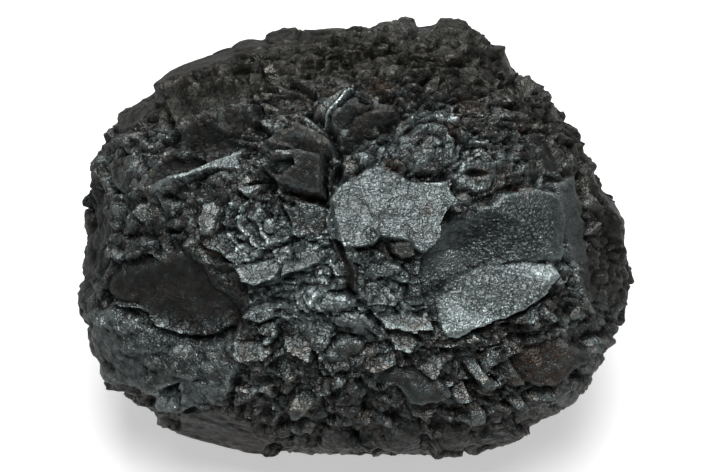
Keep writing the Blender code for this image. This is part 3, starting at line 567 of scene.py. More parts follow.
# Lumps, and pits where the height is below 0: place in pixels, half sizes and height in mm, turn in
# degrees, how square the profile is and roughness
FRONT_LUMPS = {
    "pocket by wedge": ((157, 96), (1.7, 1.1), -1.3, 20, 0.8, 0.2),
    "pit by lens": ((257, 115), (0.9, 1.2), -1.5, 0, 0.8, 0.2),
    "fleck 1": ((229, 109), (1.1, 0.5), 0.5, 20, 0.8, 0.1),
    "fleck 2": ((254, 99), (0.8, 0.9), 0.6, 0, 0.8, 0.1),
    "nose pit": ((336, 172), (1.1, 1.9), -3.0, -10, 0.7, 0.2),
    "nose shadow": ((268, 171), (1.3, 0.8), -1.6, -20, 0.7, 0.1),
    "dark under shoulder": ((342, 150), (1.6, 0.8), -1.4, 30, 0.8, 0.1),
    "dark right of glint": ((386, 103), (1.6, 0.9), -1.2, 20, 0.8, 0.2),
    "block by nose": ((348, 165), (1.6, 1.5), 0.8, 0, 0.5, 0.2),
    "centre lump": ((373, 235), (1.4, 1.5), 0.9, 0, 0.6, 0.3),
    "centre lump hollow": ((373, 235), (0.7, 0.8), -0.6, 0, 0.8, None),
    "rust dot lump": ((438, 235), (0.9, 1.0), 0.5, 0, 0.6, 0.1),
    "scale hollow": ((405, 131), (1.9, 2.2), -0.8, 0, 1.0, 0.1),
    "small lump": ((390, 155), (2.0, 2.3), 0.8, 0, 0.6, 0.5),
    "ring lump": ((470, 181), (3.9, 3.4), 1.0, 10, 0.5, 0.3),
    "ring lump pit": ((471, 176), (1.7, 0.8), -1.3, 0, 0.7, 0.2),
    "ball 1": ((462, 203), (1.3, 1.3), 0.9, 0, 0.5, 0.1),
    "ball 2": ((475, 207), (1.2, 1.0), 0.7, 0, 0.5, 0.1),
    "dark rimmed lump": ((546, 198), (1.5, 1.2), 0.7, 0, 0.5, 0.3),
    "lens 1": ((341, 303), (3.0, 2.0), 0.9, -8, 0.5, 0.3),
    "lens 2": ((352, 322), (3.2, 1.5), 0.7, -5, 0.5, 0.2),
    "lens 3": ((343, 349), (3.8, 1.9), 0.8, 8, 0.5, 0.15),
    "bright knob": ((235, 335), (1.4, 1.5), 0.8, 0, 0.5, 0.1),
    "cavity 1": ((263, 388), (2.9, 0.9), -1.4, -8, 0.8, 0.2),
    "cavity 2": ((272, 405), (3.6, 0.8), -1.3, -25, 0.8, 0.2),
    "cavity 3": ((148, 397), (1.9, 1.4), -1.6, 10, 0.8, 0.2),
    "cavity 4": ((570, 373), (1.6, 0.8), -1.2, 0, 0.8, 0.2),
    "cavity 5": ((537, 415), (0.9, 0.9), -1.2, 0, 0.8, 0.2),
    "pink lump": ((441, 342), (2.0, 0.8), 0.6, 0, 0.6, 0.3),
    "rim lump 1": ((338, 441), (3.0, 2.8), 1.0, 0, 0.6, 0.3),
    "rim lump 2": ((402, 438), (3.8, 2.9), 1.2, 0, 0.6, 0.3),
    "rim hollow": ((447, 425), (3.4, 1.4), -1.3, 10, 0.8, 0.15),
    "rim lump 3": ((456, 440), (3.6, 1.8), 0.8, 0, 0.6, 0.3),
    "rim lump 4": ((566, 395), (2.4, 2.0), 0.9, 20, 0.6, 0.3),
    "outline bump 1": ((545, 95), (1.6, 1.6), 0.8, 0, 0.8, 0.4),
    "outline bump 2": ((585, 143), (1.6, 1.8), 0.8, 0, 0.8, 0.4),
    "rim swell 1": ((616, 212), (3.0, 6.0), 1.7),
    "rim swell 2": ((506, 54), (3.2, 3.0), 1.8),
    "rim swell 3": ((393, 20), (5.0, 3.0), 2.2),
    "rim swell 4": ((240, 40), (4.0, 2.6), 1.4),
    "rim swell 5": ((126, 106), (3.0, 3.0), 1.5),
    "rim swell 6": ((106, 380), (3.6, 3.4), 1.8),
    "rim dip 1": ((472, 30), (2.8, 3.2), -2.0),
    "rim dip 2": ((562, 115), (2.6, 2.6), -1.5),
    "rim dip 3": ((150, 410), (2.6, 2.6), -0.8),
    "shell core": ((268, 226), (1.3, 1.5), 0.6, 0, 0.6, 0.1),
}

# Ridges, and grooves where the height is below 0: line in pixels, half width and height in mm
FRONT_SEAMS = {
    "ridge 1": (((148, 149), (160, 143), (172, 136), (186, 131), (200, 123), (215, 120)), 1.2, 1.1),
    "ridge 1 foot": (((146, 156), (165, 150), (185, 146)), 0.8, 0.6),
    "band crevice": (((237, 174), (222, 173), (208, 178), (196, 184), (188, 197)), 0.6, -1.0),
    "fissure": (((303, 108), (314, 116), (327, 125), (336, 139), (338, 153)), 0.9, -2.0),
    "glint": (((324, 127), (332, 114), (342, 105), (354, 96)), 0.6, 0.9),
    "nose bottom": (((284, 189), (303, 194), (325, 196)), 0.7, -1.2),
    "nose edge": (((326, 158), (327, 176), (325, 192)), 0.5, -0.9),
    "nose crease 1": (((262, 150), (275, 158), (296, 168)), 0.5, 0.5),
    "nose crease 2": (((270, 146), (285, 153), (302, 160)), 0.4, 0.4),
    "scale border": (((380, 160), (400, 173), (413, 179), (440, 182)), 0.6, -0.9),
    "scale arc": (((401, 126), (412, 119), (430, 116), (448, 119), (455, 129), (461, 141), (465, 153)),
                  0.9, 1.2),
    "scale arc groove": (((404, 134), (415, 127), (431, 124), (445, 128), (452, 139), (456, 152)), 0.5, -1.0),
    "scale arc 2": (((412, 140), (426, 132), (441, 136), (449, 146), (450, 158)), 0.6, 0.7),
    "scale arc 2 groove": (((416, 147), (427, 140), (438, 143), (443, 152)), 0.4, -0.8),
    "scale arc 3": (((400, 150), (412, 158), (426, 164), (440, 166)), 0.5, 0.5),
    "scale groove": (((446, 178), (456, 171), (463, 160), (466, 149)), 0.8, -1.2),
    "ring lump groove": (((448, 182), (453, 194), (468, 198), (484, 192), (490, 180)), 0.6, -0.8),
    "long fissure": (((329, 197), (331, 215), (338, 245), (345, 270), (352, 292), (362, 305), (386, 337)),
                     0.8, -0.9),
    "under slope": (((455, 339), (469, 329), (499, 321), (521, 311), (546, 296), (560, 292)), 0.9, -1.4),
    "left lip": (((108, 298), (138, 310), (165, 327), (184, 335)), 0.8, 0.9),
    "under left lip": (((140, 323), (160, 334), (185, 342), (212, 341), (237, 331)), 1.1, -1.9),
    "under shelf": (((384, 329), (396, 328), (408, 329), (415, 337), (421, 342)), 0.5, -1.2),
    "lens arc 1": (((321, 300), (331, 291), (348, 290), (360, 298)), 0.6, -0.9),
    "lens arc 2": (((330, 318), (345, 312), (362, 314), (370, 322)), 0.5, -0.7),
    "lens arc 3": (((320, 347), (334, 338), (352, 337), (366, 344)), 0.5, -0.8),
    "shell 1": (((258, 204), (253, 218), (258, 233), (269, 241)), 0.6, 0.6),
    "shell 2": (((250, 195), (240, 210), (240, 229), (250, 243), (266, 250)), 0.6, 0.6),
    "shell 3": (((238, 192), (228, 208), (228, 232), (240, 249)), 0.6, 0.5),
    "shell line": (((262, 180), (285, 198), (283, 206), (289, 216)), 0.5, -0.8),
    "step arc 1": (((261, 373), (274, 358), (292, 353), (306, 359)), 0.7, 0.7),
    "step arc 2": (((240, 384), (252, 370), (270, 368), (286, 375), (302, 370)), 0.7, 0.7),
    "block line": (((455, 353), (475, 349), (496, 346), (521, 339), (552, 332)), 0.7, -1.0),
    "red block foot": (((492, 382), (520, 384), (548, 386), (562, 374)), 0.6, -0.8),
    "side streak 1": (((497, 52), (520, 84), (545, 124), (572, 170), (590, 220)), 0.8, -1.0),
    "side streak 2": (((512, 60), (536, 92), (558, 130), (582, 176), (600, 226)), 0.8, -1.0),
    "side streak 3": (((506, 84), (526, 108), (546, 136), (566, 172)), 0.8, 0.8),
    "side streak 4": (((562, 126), (584, 164), (600, 206), (610, 250), (614, 290)), 0.8, -1.0),
    "side streak 5": (((596, 262), (604, 290), (602, 320)), 0.8, -0.9),
    "left streak 1": (((140, 108), (118, 140), (100, 182), (92, 230)), 0.7, -0.8),
    "left streak 2": (((126, 140), (108, 180), (99, 222), (96, 268)), 0.6, 0.6),
    "crest strip": (((286, 79), (312, 77), (345, 74)), 0.7, -0.6),
    "crest glint": (((430, 98), (445, 97)), 0.5, 0.6),
}

# Steps, high on the left of a line: line in pixels, height and fade in mm
FRONT_LEDGES = {
    "ledge under bright faces": (((252, 285), (275, 285), (290, 279), (310, 273), (328, 266)), 0.9, 3.0),
    "crest layer 1": (((296, 47), (322, 43), (350, 43), (382, 49)), 0.7, 2.4),
    "crest layer 2": (((288, 62), (320, 58), (350, 57), (384, 60)), 0.7, 2.2),
    "crest layer 3": (((398, 35), (425, 37), (452, 42), (482, 52)), 0.7, 2.4),
    "crest layer 4": (((402, 52), (430, 50), (455, 54), (482, 64)), 0.6, 2.2),
    "crest layer 5": (((326, 34), (350, 32), (372, 35)), 0.6, 2.0),
    "crest layer 6": (((400, 80), (425, 79), (455, 82), (485, 84)), 0.7, 2.4),
    "crest layer 7": (((392, 96), (420, 99), (452, 99), (476, 104)), 0.6, 2.2),
    "left step 1": (((100, 312), (118, 322), (134, 336)), 0.7, 2.6),
    "left step 2": (((118, 344), (150, 352), (185, 362)), 0.4, 2.6),
    "right step 1": (((480, 336), (510, 331), (540, 322), (565, 316)), 0.8, 2.6),
    "right step 2": (((560, 326), (580, 320), (604, 318)), 0.8, 2.4),
    "low step 1": (((232, 400), (255, 398), (282, 402)), 0.7, 2.4),
    "low step 2": (((480, 412), (500, 406), (524, 404)), 0.7, 2.4),
}

# How brightly the faces shine, partly their lustre and partly a painted highlight where they face the light:
# 0 is dull and 1 is bright, and above 1 the highlight is painted as a glint
FACE_LUSTRE_AND_PAINTED_HIGHLIGHTS = {
    "centre face": 0.85,
    "scoop slope": 1.14,
    "scoop wall": 0.9,
    "beside left scoop": 0.28,
    "left scoop": 0.12,
    "left slab": 0.75,
    "low slab": 0.3,
    "slab columns": 0.9,
    "upper slab": 0.2,
    "upper slope": 0.2,
    "upper left wedge": 0.2,
    "hollow above band": 0.1,
    "hollow left of band": 0.1,
    "bright band": 0.9,
    "dark lens": 0.08,
    "shoulder": 0.08,
    "slab beside glint": 0.5,
    "face under glint": 0.2,
    "nose top": 0.12,
    "nose face": 0.2,
    "nose wedge": 0.6,
    "pale oval": 0.6,
    "hatched face": 0.55,
    "bright face 1": 0.8,
    "bright face 2": 0.75,
    "bright face 3": 0.8,
    "dark wedge": 0.1,
    "dark side face": 0.25,
    "right strip": 0.75,
    "arc scale": 0.6,
    "recessed block": 0.25,
    "dark strip": 0.15,
    "low shelf": 0.6,
    "shelf block": 0.6,
    "low convex": 0.3,
    "red block": 0.3,
}

# Broad duller and brighter patches, painted shade and painted highlight over the lustre: place in pixels,
# half sizes in mm and change of the lustre and painted highlight
LUSTRE_AND_PAINTED_LIGHT_PATCHES = {
    "dull top": ((370, 50), (46, 13), -0.2),
    "dull under top": ((360, 80), (28, 9), -0.15),
    "dull by scoop": ((165, 232), (8, 5), -0.2),
    "dull upper left": ((190, 100), (22, 9), -0.2),
    "bright rubble": ((290, 265), (17, 13), 0.6),
    "bright low rubble": ((350, 320), (16, 6), 0.25),
    "under centre face": ((388, 272), (8, 5), 0.25),
    "dull far left": ((95, 230), (4, 14), -0.3),
    "bright arcs": ((430, 150), (12, 7), 0.3),
    "scoop's right edge": ((560, 240), (4, 8), 0.4),
    "centre rubble": ((395, 300), (9, 6), 0.35),
    "dull left rim": ((72, 300), (3, 9), -0.2),
    "dull low": ((400, 430), (40, 7), -0.15),
}

# Painted highlights along ridges and a glint, and painted shade along grooves: line in pixels, half width in
# mm and change of the lustre and painted highlight
PAINTED_HIGHLIGHT_AND_SHADE_LINES = {
    # A painted glint: over 1 it makes the colour up to six times brighter
    "glint": (((324, 124), (331, 113), (341, 104), (355, 95)), 0.35, 1.2),
    "ridge 1": (((150, 146), (168, 138), (186, 130), (204, 121)), 0.7, 0.35),
    "ridge above ridge 1": (((150, 132), (164, 124), (172, 122)), 0.6, 0.4),
    "scale arc": (((402, 126), (418, 118), (438, 118), (452, 124)), 0.9, 0.5),
    "scale arc 2": (((412, 140), (426, 132), (441, 136), (449, 146), (450, 158)), 0.5, 0.4),
    "scale arc groove": (((404, 134), (415, 127), (431, 124), (445, 128), (452, 139)), 0.5, -0.4),
    "scale hollow": (((404, 122), (408, 134)), 1.0, -0.5),
    "ring": (((458, 173), (464, 164), (476, 162), (486, 170), (487, 182), (478, 192), (465, 191), (458, 182)),
             0.6, 0.45),
    "ring's pit": (((463, 178), (471, 174), (480, 176)), 0.6, -0.6),
    "slab column 1": (((163, 386), (166, 402)), 0.4, 0.2),
    "slab column 2": (((174, 384), (178, 402)), 0.4, 0.2),
    "slab column 3": (((200, 380), (204, 400)), 0.7, 0.2),
    "left lip": (((112, 300), (138, 312), (165, 329), (184, 336)), 0.6, 0.5),
    "nose crease": (FRONT_SEAMS["nose crease 1"][0], 0.6, 0.5),
    "shell 1": (FRONT_SEAMS["shell 1"][0], 0.5, 0.4),
    "shell 2": (FRONT_SEAMS["shell 2"][0], 0.5, 0.4),
    "shell 3": (FRONT_SEAMS["shell 3"][0], 0.5, 0.3),
}

# Coarse pebbly grain: place in pixels, half sizes in mm and strength
GRAINY_PATCHES = {
    "scoop wall": ((505, 232), (11, 8), 1.5),
    "scoop slope": ((500, 292), (12, 7), 1.3),
    "scoop's left end": ((440, 300), (4, 8), 0.8),
    "left slab": ((160, 350), (10, 7), 0.5),
}

# Rust: place in pixels, half sizes in mm and strength
RUST_SPOTS = {
    "by pale oval": ((208, 240), (1.6, 2.2), 0.8),
    "under oval": ((215, 252), (3.0, 1.0), 0.6),
    "under nose": ((312, 196), (3.0, 0.8), 0.9),
    "on centre face 1": ((424, 214), (1.6, 1.6), 0.5),
    "on centre face 2": ((438, 235), (1.4, 1.5), 0.8),
    "shelf": ((400, 364), (2.4, 0.9), 0.6),
    "low": ((368, 420), (2.0, 1.4), 0.6),
    "step": ((243, 357), (2.6, 1.2), 0.6),
    "upper right 1": ((474, 104), (3.6, 2.4), 0.7),
    "upper right 2": ((455, 130), (1.6, 1.8), 0.8),
    "upper right 3": ((520, 130), (1.8, 1.5), 0.8),
    "upper right 4": ((500, 184), (2.2, 1.8), 0.8),
    "upper right 5": ((520, 192), (2.0, 1.8), 0.7),
    "beside glint": ((382, 90), (3.0, 2.4), 0.7),
    "scale edge 1": ((396, 168), (2.4, 1.6), 0.9),
    "scale edge 2": ((425, 182), (3.4, 0.9), 0.6),
    "red block": ((535, 360), (8.0, 4.6), 0.55),
    "low left": ((246, 440), (5.0, 2.2), 0.4),
    "pink lump": ((441, 341), (2.4, 1.0), 0.5),
}

# The sides that the photograph doesn't show, in the same manner as the near side, in mm from the middle
# of each sight's picture: the shapes' numbers are as above
HIDDEN_FACES = {
    "back main face": (BACK, ((-6, 8), (4, 14), (19, 11), (24, 0), (17, -9), (3, -7), (-4, -1)),
                       0.2, (3, 12), 0.3, 1.0, 0.12),
    "back scoop": (BACK, ((-37, 2), (-27, 9), (-12, 8), (-8, -2), (-16, -9), (-31, -9)),
                   -1.5, (-14, -16), 1.5, 1.4, 0.08),
    "back scoop slope": (BACK, ((-32, -9), (-17, -9), (-8, -4), (-7, -13), (-20, -19), (-30, -15)),
                         -0.2, (-6, 14), 0.2, 0.7, 0.12),
    "back shoulder": (BACK, ((-29, 13), (-17, 19), (-5, 17), (-8, 11), (-21, 10)),
                      0.6, (-5, 20), -0.4, 0.9, 0.2),
    "back wedge": (BACK, ((27, 13), (34, 8), (38, -3), (31, -5), (26, 4)), 0.4, (17, 6), 0.1, 0.8, 0.15),
    "back low face": (BACK, ((2, -13), (17, -12), (27, -17), (22, -23), (7, -24)), 0.2, None, 0.4, 1.0, 0.2),
    "back block 1": (BACK, ((-2, 22), (5, 24), (9, 20), (2, 17)), 0.7, (0, 24), 0.0, 0.6, 0.15),
    "back block 2": (BACK, ((-15, -21), (-8, -18), (-3, -21), (-9, -25)), 0.7, (-4, 14), 0.0, 0.6, 0.15),
    "right end face": (RIGHT_END, ((-9, 10), (-1, 13), (6, 4), (-2, -9), (-9, -5)),
                       -0.6, None, 0.5, 1.0, 0.6),
    "right end scoop": (RIGHT_END, ((8, 6), (17, 4), (22, -6), (14, -13), (5, -8)),
                        -1.0, (8, -8), 0.9, 1.0, 0.1),
    "right end block": (RIGHT_END, ((2, 19), (10, 18), (13, 11), (5, 10)), 0.5, (6, 22), 0.0, 0.6, 0.5),
    "left end face": (LEFT_END, ((3, 12), (16, 6), (15, -8), (3, -10)), -0.6, None, 0.6, 1.0, 0.3),
    "left end scoop": (LEFT_END, ((-20, 4), (-10, 9), (-3, 4), (-6, -6), (-17, -7)),
                       -1.2, (-8, 4), 1.0, 1.0, 0.1),
    "left end block": (LEFT_END, ((-14, -12), (-5, -10), (-2, -17), (-11, -19)),
                       0.5, (-6, -8), 0.0, 0.6, 0.15),
    "top face": (TOP, ((-24, 18), (-10, 23), (0, 20), (-6, 13), (-19, 12)), -0.4, None, 0.5, 1.0, 0.5),
    "top slab": (TOP, ((8, 25), (20, 23), (25, 16), (18, 12), (7, 17)), 0.5, None, -0.2, 0.9, 0.5),
    "under face": (UNDER, ((14, 14), (28, 10), (26, -2), (13, 0)), -0.6, None, 0.5, 1.0, 0.2),
}
HIDDEN_LUMPS = {
    "back swell": (BACK, (-16, 21), (8, 4), 1.0, 10),
    "back hollow": (BACK, (33, 8), (4, 6), -1.4, 20, 1.0, 0.3),
    "back lump": (BACK, (27, -11), (4, 3), 1.0, -20, 0.6, 0.3),
    "back pocket": (BACK, (-1, -11), (3, 1.4), -1.6, 10, 0.8, 0.2),
    "right end hollow": (RIGHT_END, (-19, 0), (3, 5), -1.2, 0, 1.0, 0.2),
    "left end lump": (LEFT_END, (9, 16), (4, 3), 1.0, -15, 0.6, 0.3),
    "top hollow": (TOP, (3, 27), (5, 3), -1.2, 15, 1.0, 0.3),
    "under hollow": (UNDER, (-22, 2), (7, 9), -1.4, 0, 1.0, 0.2),
}
HIDDEN_SEAMS = {
    "back fissure": (BACK, ((3, 24), (-1, 16), (-5, 8), (-6, -3), (-2, -15), (-4, -24)), 1.0, -1.6),
    "back branch": (BACK, ((-5, 8), (-15, 10), (-24, 11), (-33, 7)), 0.8, -1.2),
    "back rib": (BACK, ((-33, -11), (-20, -10), (-9, -4)), 0.9, 0.8),
    "right end fissure": (RIGHT_END, ((4, 22), (6, 12), (3, 2), (5, -9), (2, -18)), 0.9, -1.2),
    "left end fissure": (LEFT_END, ((-2, 20), (0, 10), (-3, 0), (0, -12)), 0.9, -1.2),
    "under fissure": (UNDER, ((-30, -6), (-18, 4), (-12, 16)), 1.2, -1.2),
}
HIDDEN_LEDGES = {
    "back ledge 1": (BACK, ((-30, -20), (-8, -14), (8, -11), (28, -14)), 1.2, 5.0),
    "back ledge 2": (BACK, ((-24, 24), (-8, 20), (8, 16), (26, 15)), 1.1, 4.0),
    "back ledge 3": (BACK, ((-38, -4), (-28, -12), (-16, -20)), 0.9, 4.0),
    "right end ledge": (RIGHT_END, ((-18, -10), (0, -14), (17, -16)), 1.2, 5.0),
    "left end ledge": (LEFT_END, ((-16, -8), (-2, -14), (16, -12)), 1.2, 5.0),
    "top ledge": (TOP, ((-26, 16), (-8, 15), (10, 18), (24, 16)), 0.9, 4.0),
}


def all_features(stone):
    """What the photograph doesn't show, then what it does."""
    for shape in HIDDEN_FACES.values():
        stone.facet(*shape)
    for shape in HIDDEN_LUMPS.values():
        stone.lump(*shape)
    for shape in HIDDEN_LEDGES.values():
        stone.ledge(*shape)
    for shape in HIDDEN_SEAMS.values():
        stone.seam(*shape)
    stone.stain_and_paint_light()
    for name, (outline, *shape) in FRONT_FACES.items():
        cover = stone.facet(FRONT, outline, *shape)
        # Bright faces get a painted highlight and dull ones painted shade, over the stone's lustre
        sheen = FACE_LUSTRE_AND_PAINTED_HIGHLIGHTS.get(name, PLAIN_LUSTRE_AND_PAINTED_HIGHLIGHT)
        stone.sheen = stone.sheen * (1.0 - cover) + sheen * cover
    for place, *shape in FRONT_LUMPS.values():
        stone.lump(FRONT, place, *shape)
    for line, *shape in FRONT_LEDGES.values():
        stone.ledge(FRONT, line, *shape)
    for line, *shape in FRONT_SEAMS.values():
        stone.seam(FRONT, line, *shape)
    for line, width, change in PAINTED_HIGHLIGHT_AND_SHADE_LINES.values():
        stone.streak(FRONT, line, width, change)


def cube_ball(count):
    """Rays through an even grid on a cube, bent so that its squares come out alike on the ball."""
    mesh = bmesh.new()
    bmesh.ops.create_cube(mesh, size=2.0)
    bmesh.ops.subdivide_edges(mesh, edges=mesh.edges, cuts=count - 1, use_grid_fill=True)
    points = np.array([vertex.co[:] for vertex in mesh.verts])
    return mesh, unit(np.tan(points * math.pi / 4.0))


def shaped(rays):
    """The finished stone along the rays."""
    stone = Stone(rays)
    all_features(stone)
    stone.break_up()
    stone.rest()
    return stone


def evened(rays, edges, rounds):
    """Rays moved so that the surface's squares stay even where it is steep."""
    for _ in range(rounds):
        stone = shaped(rays)
        points = rays * stone.reach[:, None]
        total = np.zeros_like(points)
        count = np.bincount(edges.ravel(), minlength=len(points))
        for a, b in ((0, 1), (1, 0)):
            for axis in range(3):
                total[:, axis] += np.bincount(edges[:, a], points[edges[:, b], axis], len(points))
        rays = unit(points * (1.0 - EVENING) + EVENING * total / count[:, None])
    return rays


class Nodes:
    """Short ways to lay out one material's nodes."""

    def __init__(self, material):
        self.nodes = material.node_tree.nodes
        self.link = material.node_tree.links.new

    def add(self, kind, settings=None, **inputs):
        """A node with its settings, and its inputs linked or set by name, or by number as i0, i1."""
        node = self.nodes.new("ShaderNode" + kind)
        for name, value in (settings or {}).items():
            setattr(node, name, value)
        for name, value in inputs.items():
            key = int(name[1:]) if name[1:].isdigit() else name.replace("_", " ")
            socket = node.inputs[key]
            if isinstance(value, bpy.types.NodeSocket):
                self.link(value, socket)
            else:
                socket.default_value = value
        return node

    def math(self, operation, *values):
        settings = {"operation": operation}
        return self.add("Math", settings, **{f"i{i}": value for i, value in enumerate(values)}).outputs[0]

    def product(self, *values):
        return functools.reduce(lambda first, second: self.math("MULTIPLY", first, second), values)

    def vector(self, operation, first, second):
        """A vector sum or product. The second is a number when the first is only scaled."""
        second_socket = "i3" if operation == "SCALE" else "i1"
        made = self.add("VectorMath", {"operation": operation}, i0=first, **{second_socket: second})
        return made.outputs["Value" if operation == "DOT_PRODUCT" else "Vector"]

    def fade(self, value, start, end, low=0.0, high=1.0):
        """A value carried over from one range to another."""
        return self.add("MapRange", None, Value=value, From_Min=start, From_Max=end,
                        To_Min=low, To_Max=high).outputs["Result"]

    def mix(self, share, first, second):
        return self.add("Mix", {"data_type": "RGBA"}, i0=share, i6=first, i7=second).outputs[2]

    def noise(self, place, size, detail=2.0, roughness=0.5):
        """Noise about 0.5 with a wavelength in mm."""
        made = self.add("TexNoise", None, Vector=place, Scale=1.0 / (size * MM), Detail=detail,
                        Roughness=roughness)
        return made.outputs["Fac"], made.outputs["Color"]

    def ridges(self, place, size, detail, roughness):
        """Noise in sharp ridges, with a wavelength in mm."""
        settings = {"noise_type": "RIDGED_MULTIFRACTAL", "normalize": True}
        return self.add("TexNoise", settings, Vector=place, Scale=1.0 / (size * MM), Detail=detail,
                        Roughness=roughness, Lacunarity=2.2).outputs["Fac"]

    def pebbles(self, place, size):
        """Small pebbles, as the distance from the middle of each, with a size in mm."""
        return self.add("TexVoronoi", None, Vector=place, Scale=1.0 / (size * MM)).outputs["Distance"]

    def chips(self, place, size, lean):
        """Small flat chips, each with a lean of its own.

        Gives their heights in metres, a number for each, how near a joint each place is, from 0 there, and
        lines across each chip in a direction of its own.
        """
        scale = 1.0 / (size * MM)
        cells = self.add("TexVoronoi", None, Vector=place, Scale=scale)
        offset = self.vector("SUBTRACT", place, cells.outputs["Position"])
        leaning = self.vector("SUBTRACT", cells.outputs["Color"], (0.5, 0.5, 0.5))
        across = self.vector("DOT_PRODUCT", offset, leaning)
        number = self.add("SeparateColor", None, Color=cells.outputs["Color"]).outputs["Green"]
        joint = self.add("TexVoronoi", {"feature": "DISTANCE_TO_EDGE"}, Vector=place, Scale=scale)
        lines = self.math("SINE", self.product(across, HATCH_RATE / MM))
        return self.product(across, lean), number, joint.outputs["Distance"], lines


def cavity_for_painted_shade(reach, edges):
    """How far each point lies below its surroundings, for painted shade where it is hollow and a painted
    highlight on ridges: 0.5 when level, 1 in a deep joint, 0 on a ridge.
    """
    around = reach.copy()
    count = np.bincount(edges.ravel(), minlength=len(reach))
    for _ in range(PAINTED_SHADE_ROUNDS):
        total = sum(np.bincount(edges[:, a], around[edges[:, 1 - a]], len(reach)) for a in (0, 1))
        around = total / count
    return np.clip(0.5 + 0.5 * (around - reach) / PAINTED_SHADE_DEPTH, 0.0, 1.0)


def streak_pattern(n, place):
    """Streaks that run round the rim, about the line of the photograph's sight."""
    middle = tuple(MM * c for c in (-BOX_MIDDLE[0], -BOX_MIDDLE[1], REST_DROP))
    centre = n.vector("SUBTRACT", place, middle)
    east, north, near = (n.vector("DOT_PRODUCT", centre, tuple(axis))
                         for axis in (FRONT.right, FRONT.up, FRONT.toward))
    round_about = n.product(n.math("ARCTAN2", north, east), STREAK_BREADTH * MM)
    outward = n.math("SQRT", n.math("ADD", n.product(east, east), n.product(north, north)))
    rings = n.add("CombineXYZ", None, X=outward, Y=round_about, Z=near).outputs["Vector"]
    return n.ridges(rings, STREAKS, 4.0, 0.7)


def stone_patterns(n, place, layer):
    """The fine patterns that the relief, the colours and the gloss are made from."""
    p = SimpleNamespace()
    _, wander = n.noise(place, WANDER, 3.0, 0.6)
    shift = n.vector("SCALE", n.vector("SUBTRACT", wander, (0.5, 0.5, 0.5)), WANDER * MM)
    bent = n.vector("ADD", place, shift)
    stretched = n.add("Mapping", {"vector_type": "POINT"}, Vector=bent, Scale=(GRAIN_STRETCH, 1.0, 1.0),
                      Rotation=(0.0, math.radians(GRAIN_TURN), 0.0)).outputs["Vector"]
    p.coarse, p.coarse_number, coarse_joint, p.hatching = n.chips(bent, COARSE_CHIPS, COARSE_LEAN)
    p.fine, p.fine_number, fine_joint, _ = n.chips(bent, FINE_CHIPS, FINE_LEAN)
    p.crinkles = n.ridges(bent, CRINKLES, 5.0, 0.75)
    p.pebbles = n.pebbles(place, PEBBLES)
    p.grains = n.pebbles(stretched, GRAINS)
    p.streaky = streak_pattern(n, bent)
    p.dust, _ = n.noise(place, DUST, 4.0, 0.65)
    p.broken = n.product(n.fade(layer.rough, 0.05, 0.4, 0.35, 1.0),
                         n.fade(layer.streaks, 0.0, 1.0, 1.0, 0.45))
    p.hatched = n.product(n.fade(p.coarse_number, 0.55, 0.65), p.broken)
    p.cracked = n.product(n.fade(coarse_joint, 0.06, 0.0), p.broken)
    p.parted = n.product(n.fade(fine_joint, 0.08, 0.0), p.broken)
    p.gritty = n.fade(layer.sheen, 0.1, 0.4, 0.4, 1.0)
    return p


def stone_relief(n, layer, p):
    """The height of the fine relief, in metres."""
    height = n.product(n.math("ADD", p.coarse, p.fine), p.broken)
    for relief, *shares in ((HATCH_RELIEF, p.hatching, p.hatched),
                            (CRACK_RELIEF, p.cracked),
                            (CRINKLE_RELIEF, p.crinkles),
                            (PEBBLE_RELIEF, p.pebbles, p.gritty),
                            (DUST_RELIEF, p.dust, p.gritty),
                            (GRAIN_RELIEF, p.grains, layer.grain),
                            (STREAK_RELIEF, p.streaky, layer.streaks)):
        height = n.math("MULTIPLY_ADD", n.product(*shares), relief * MM, height)
    return height


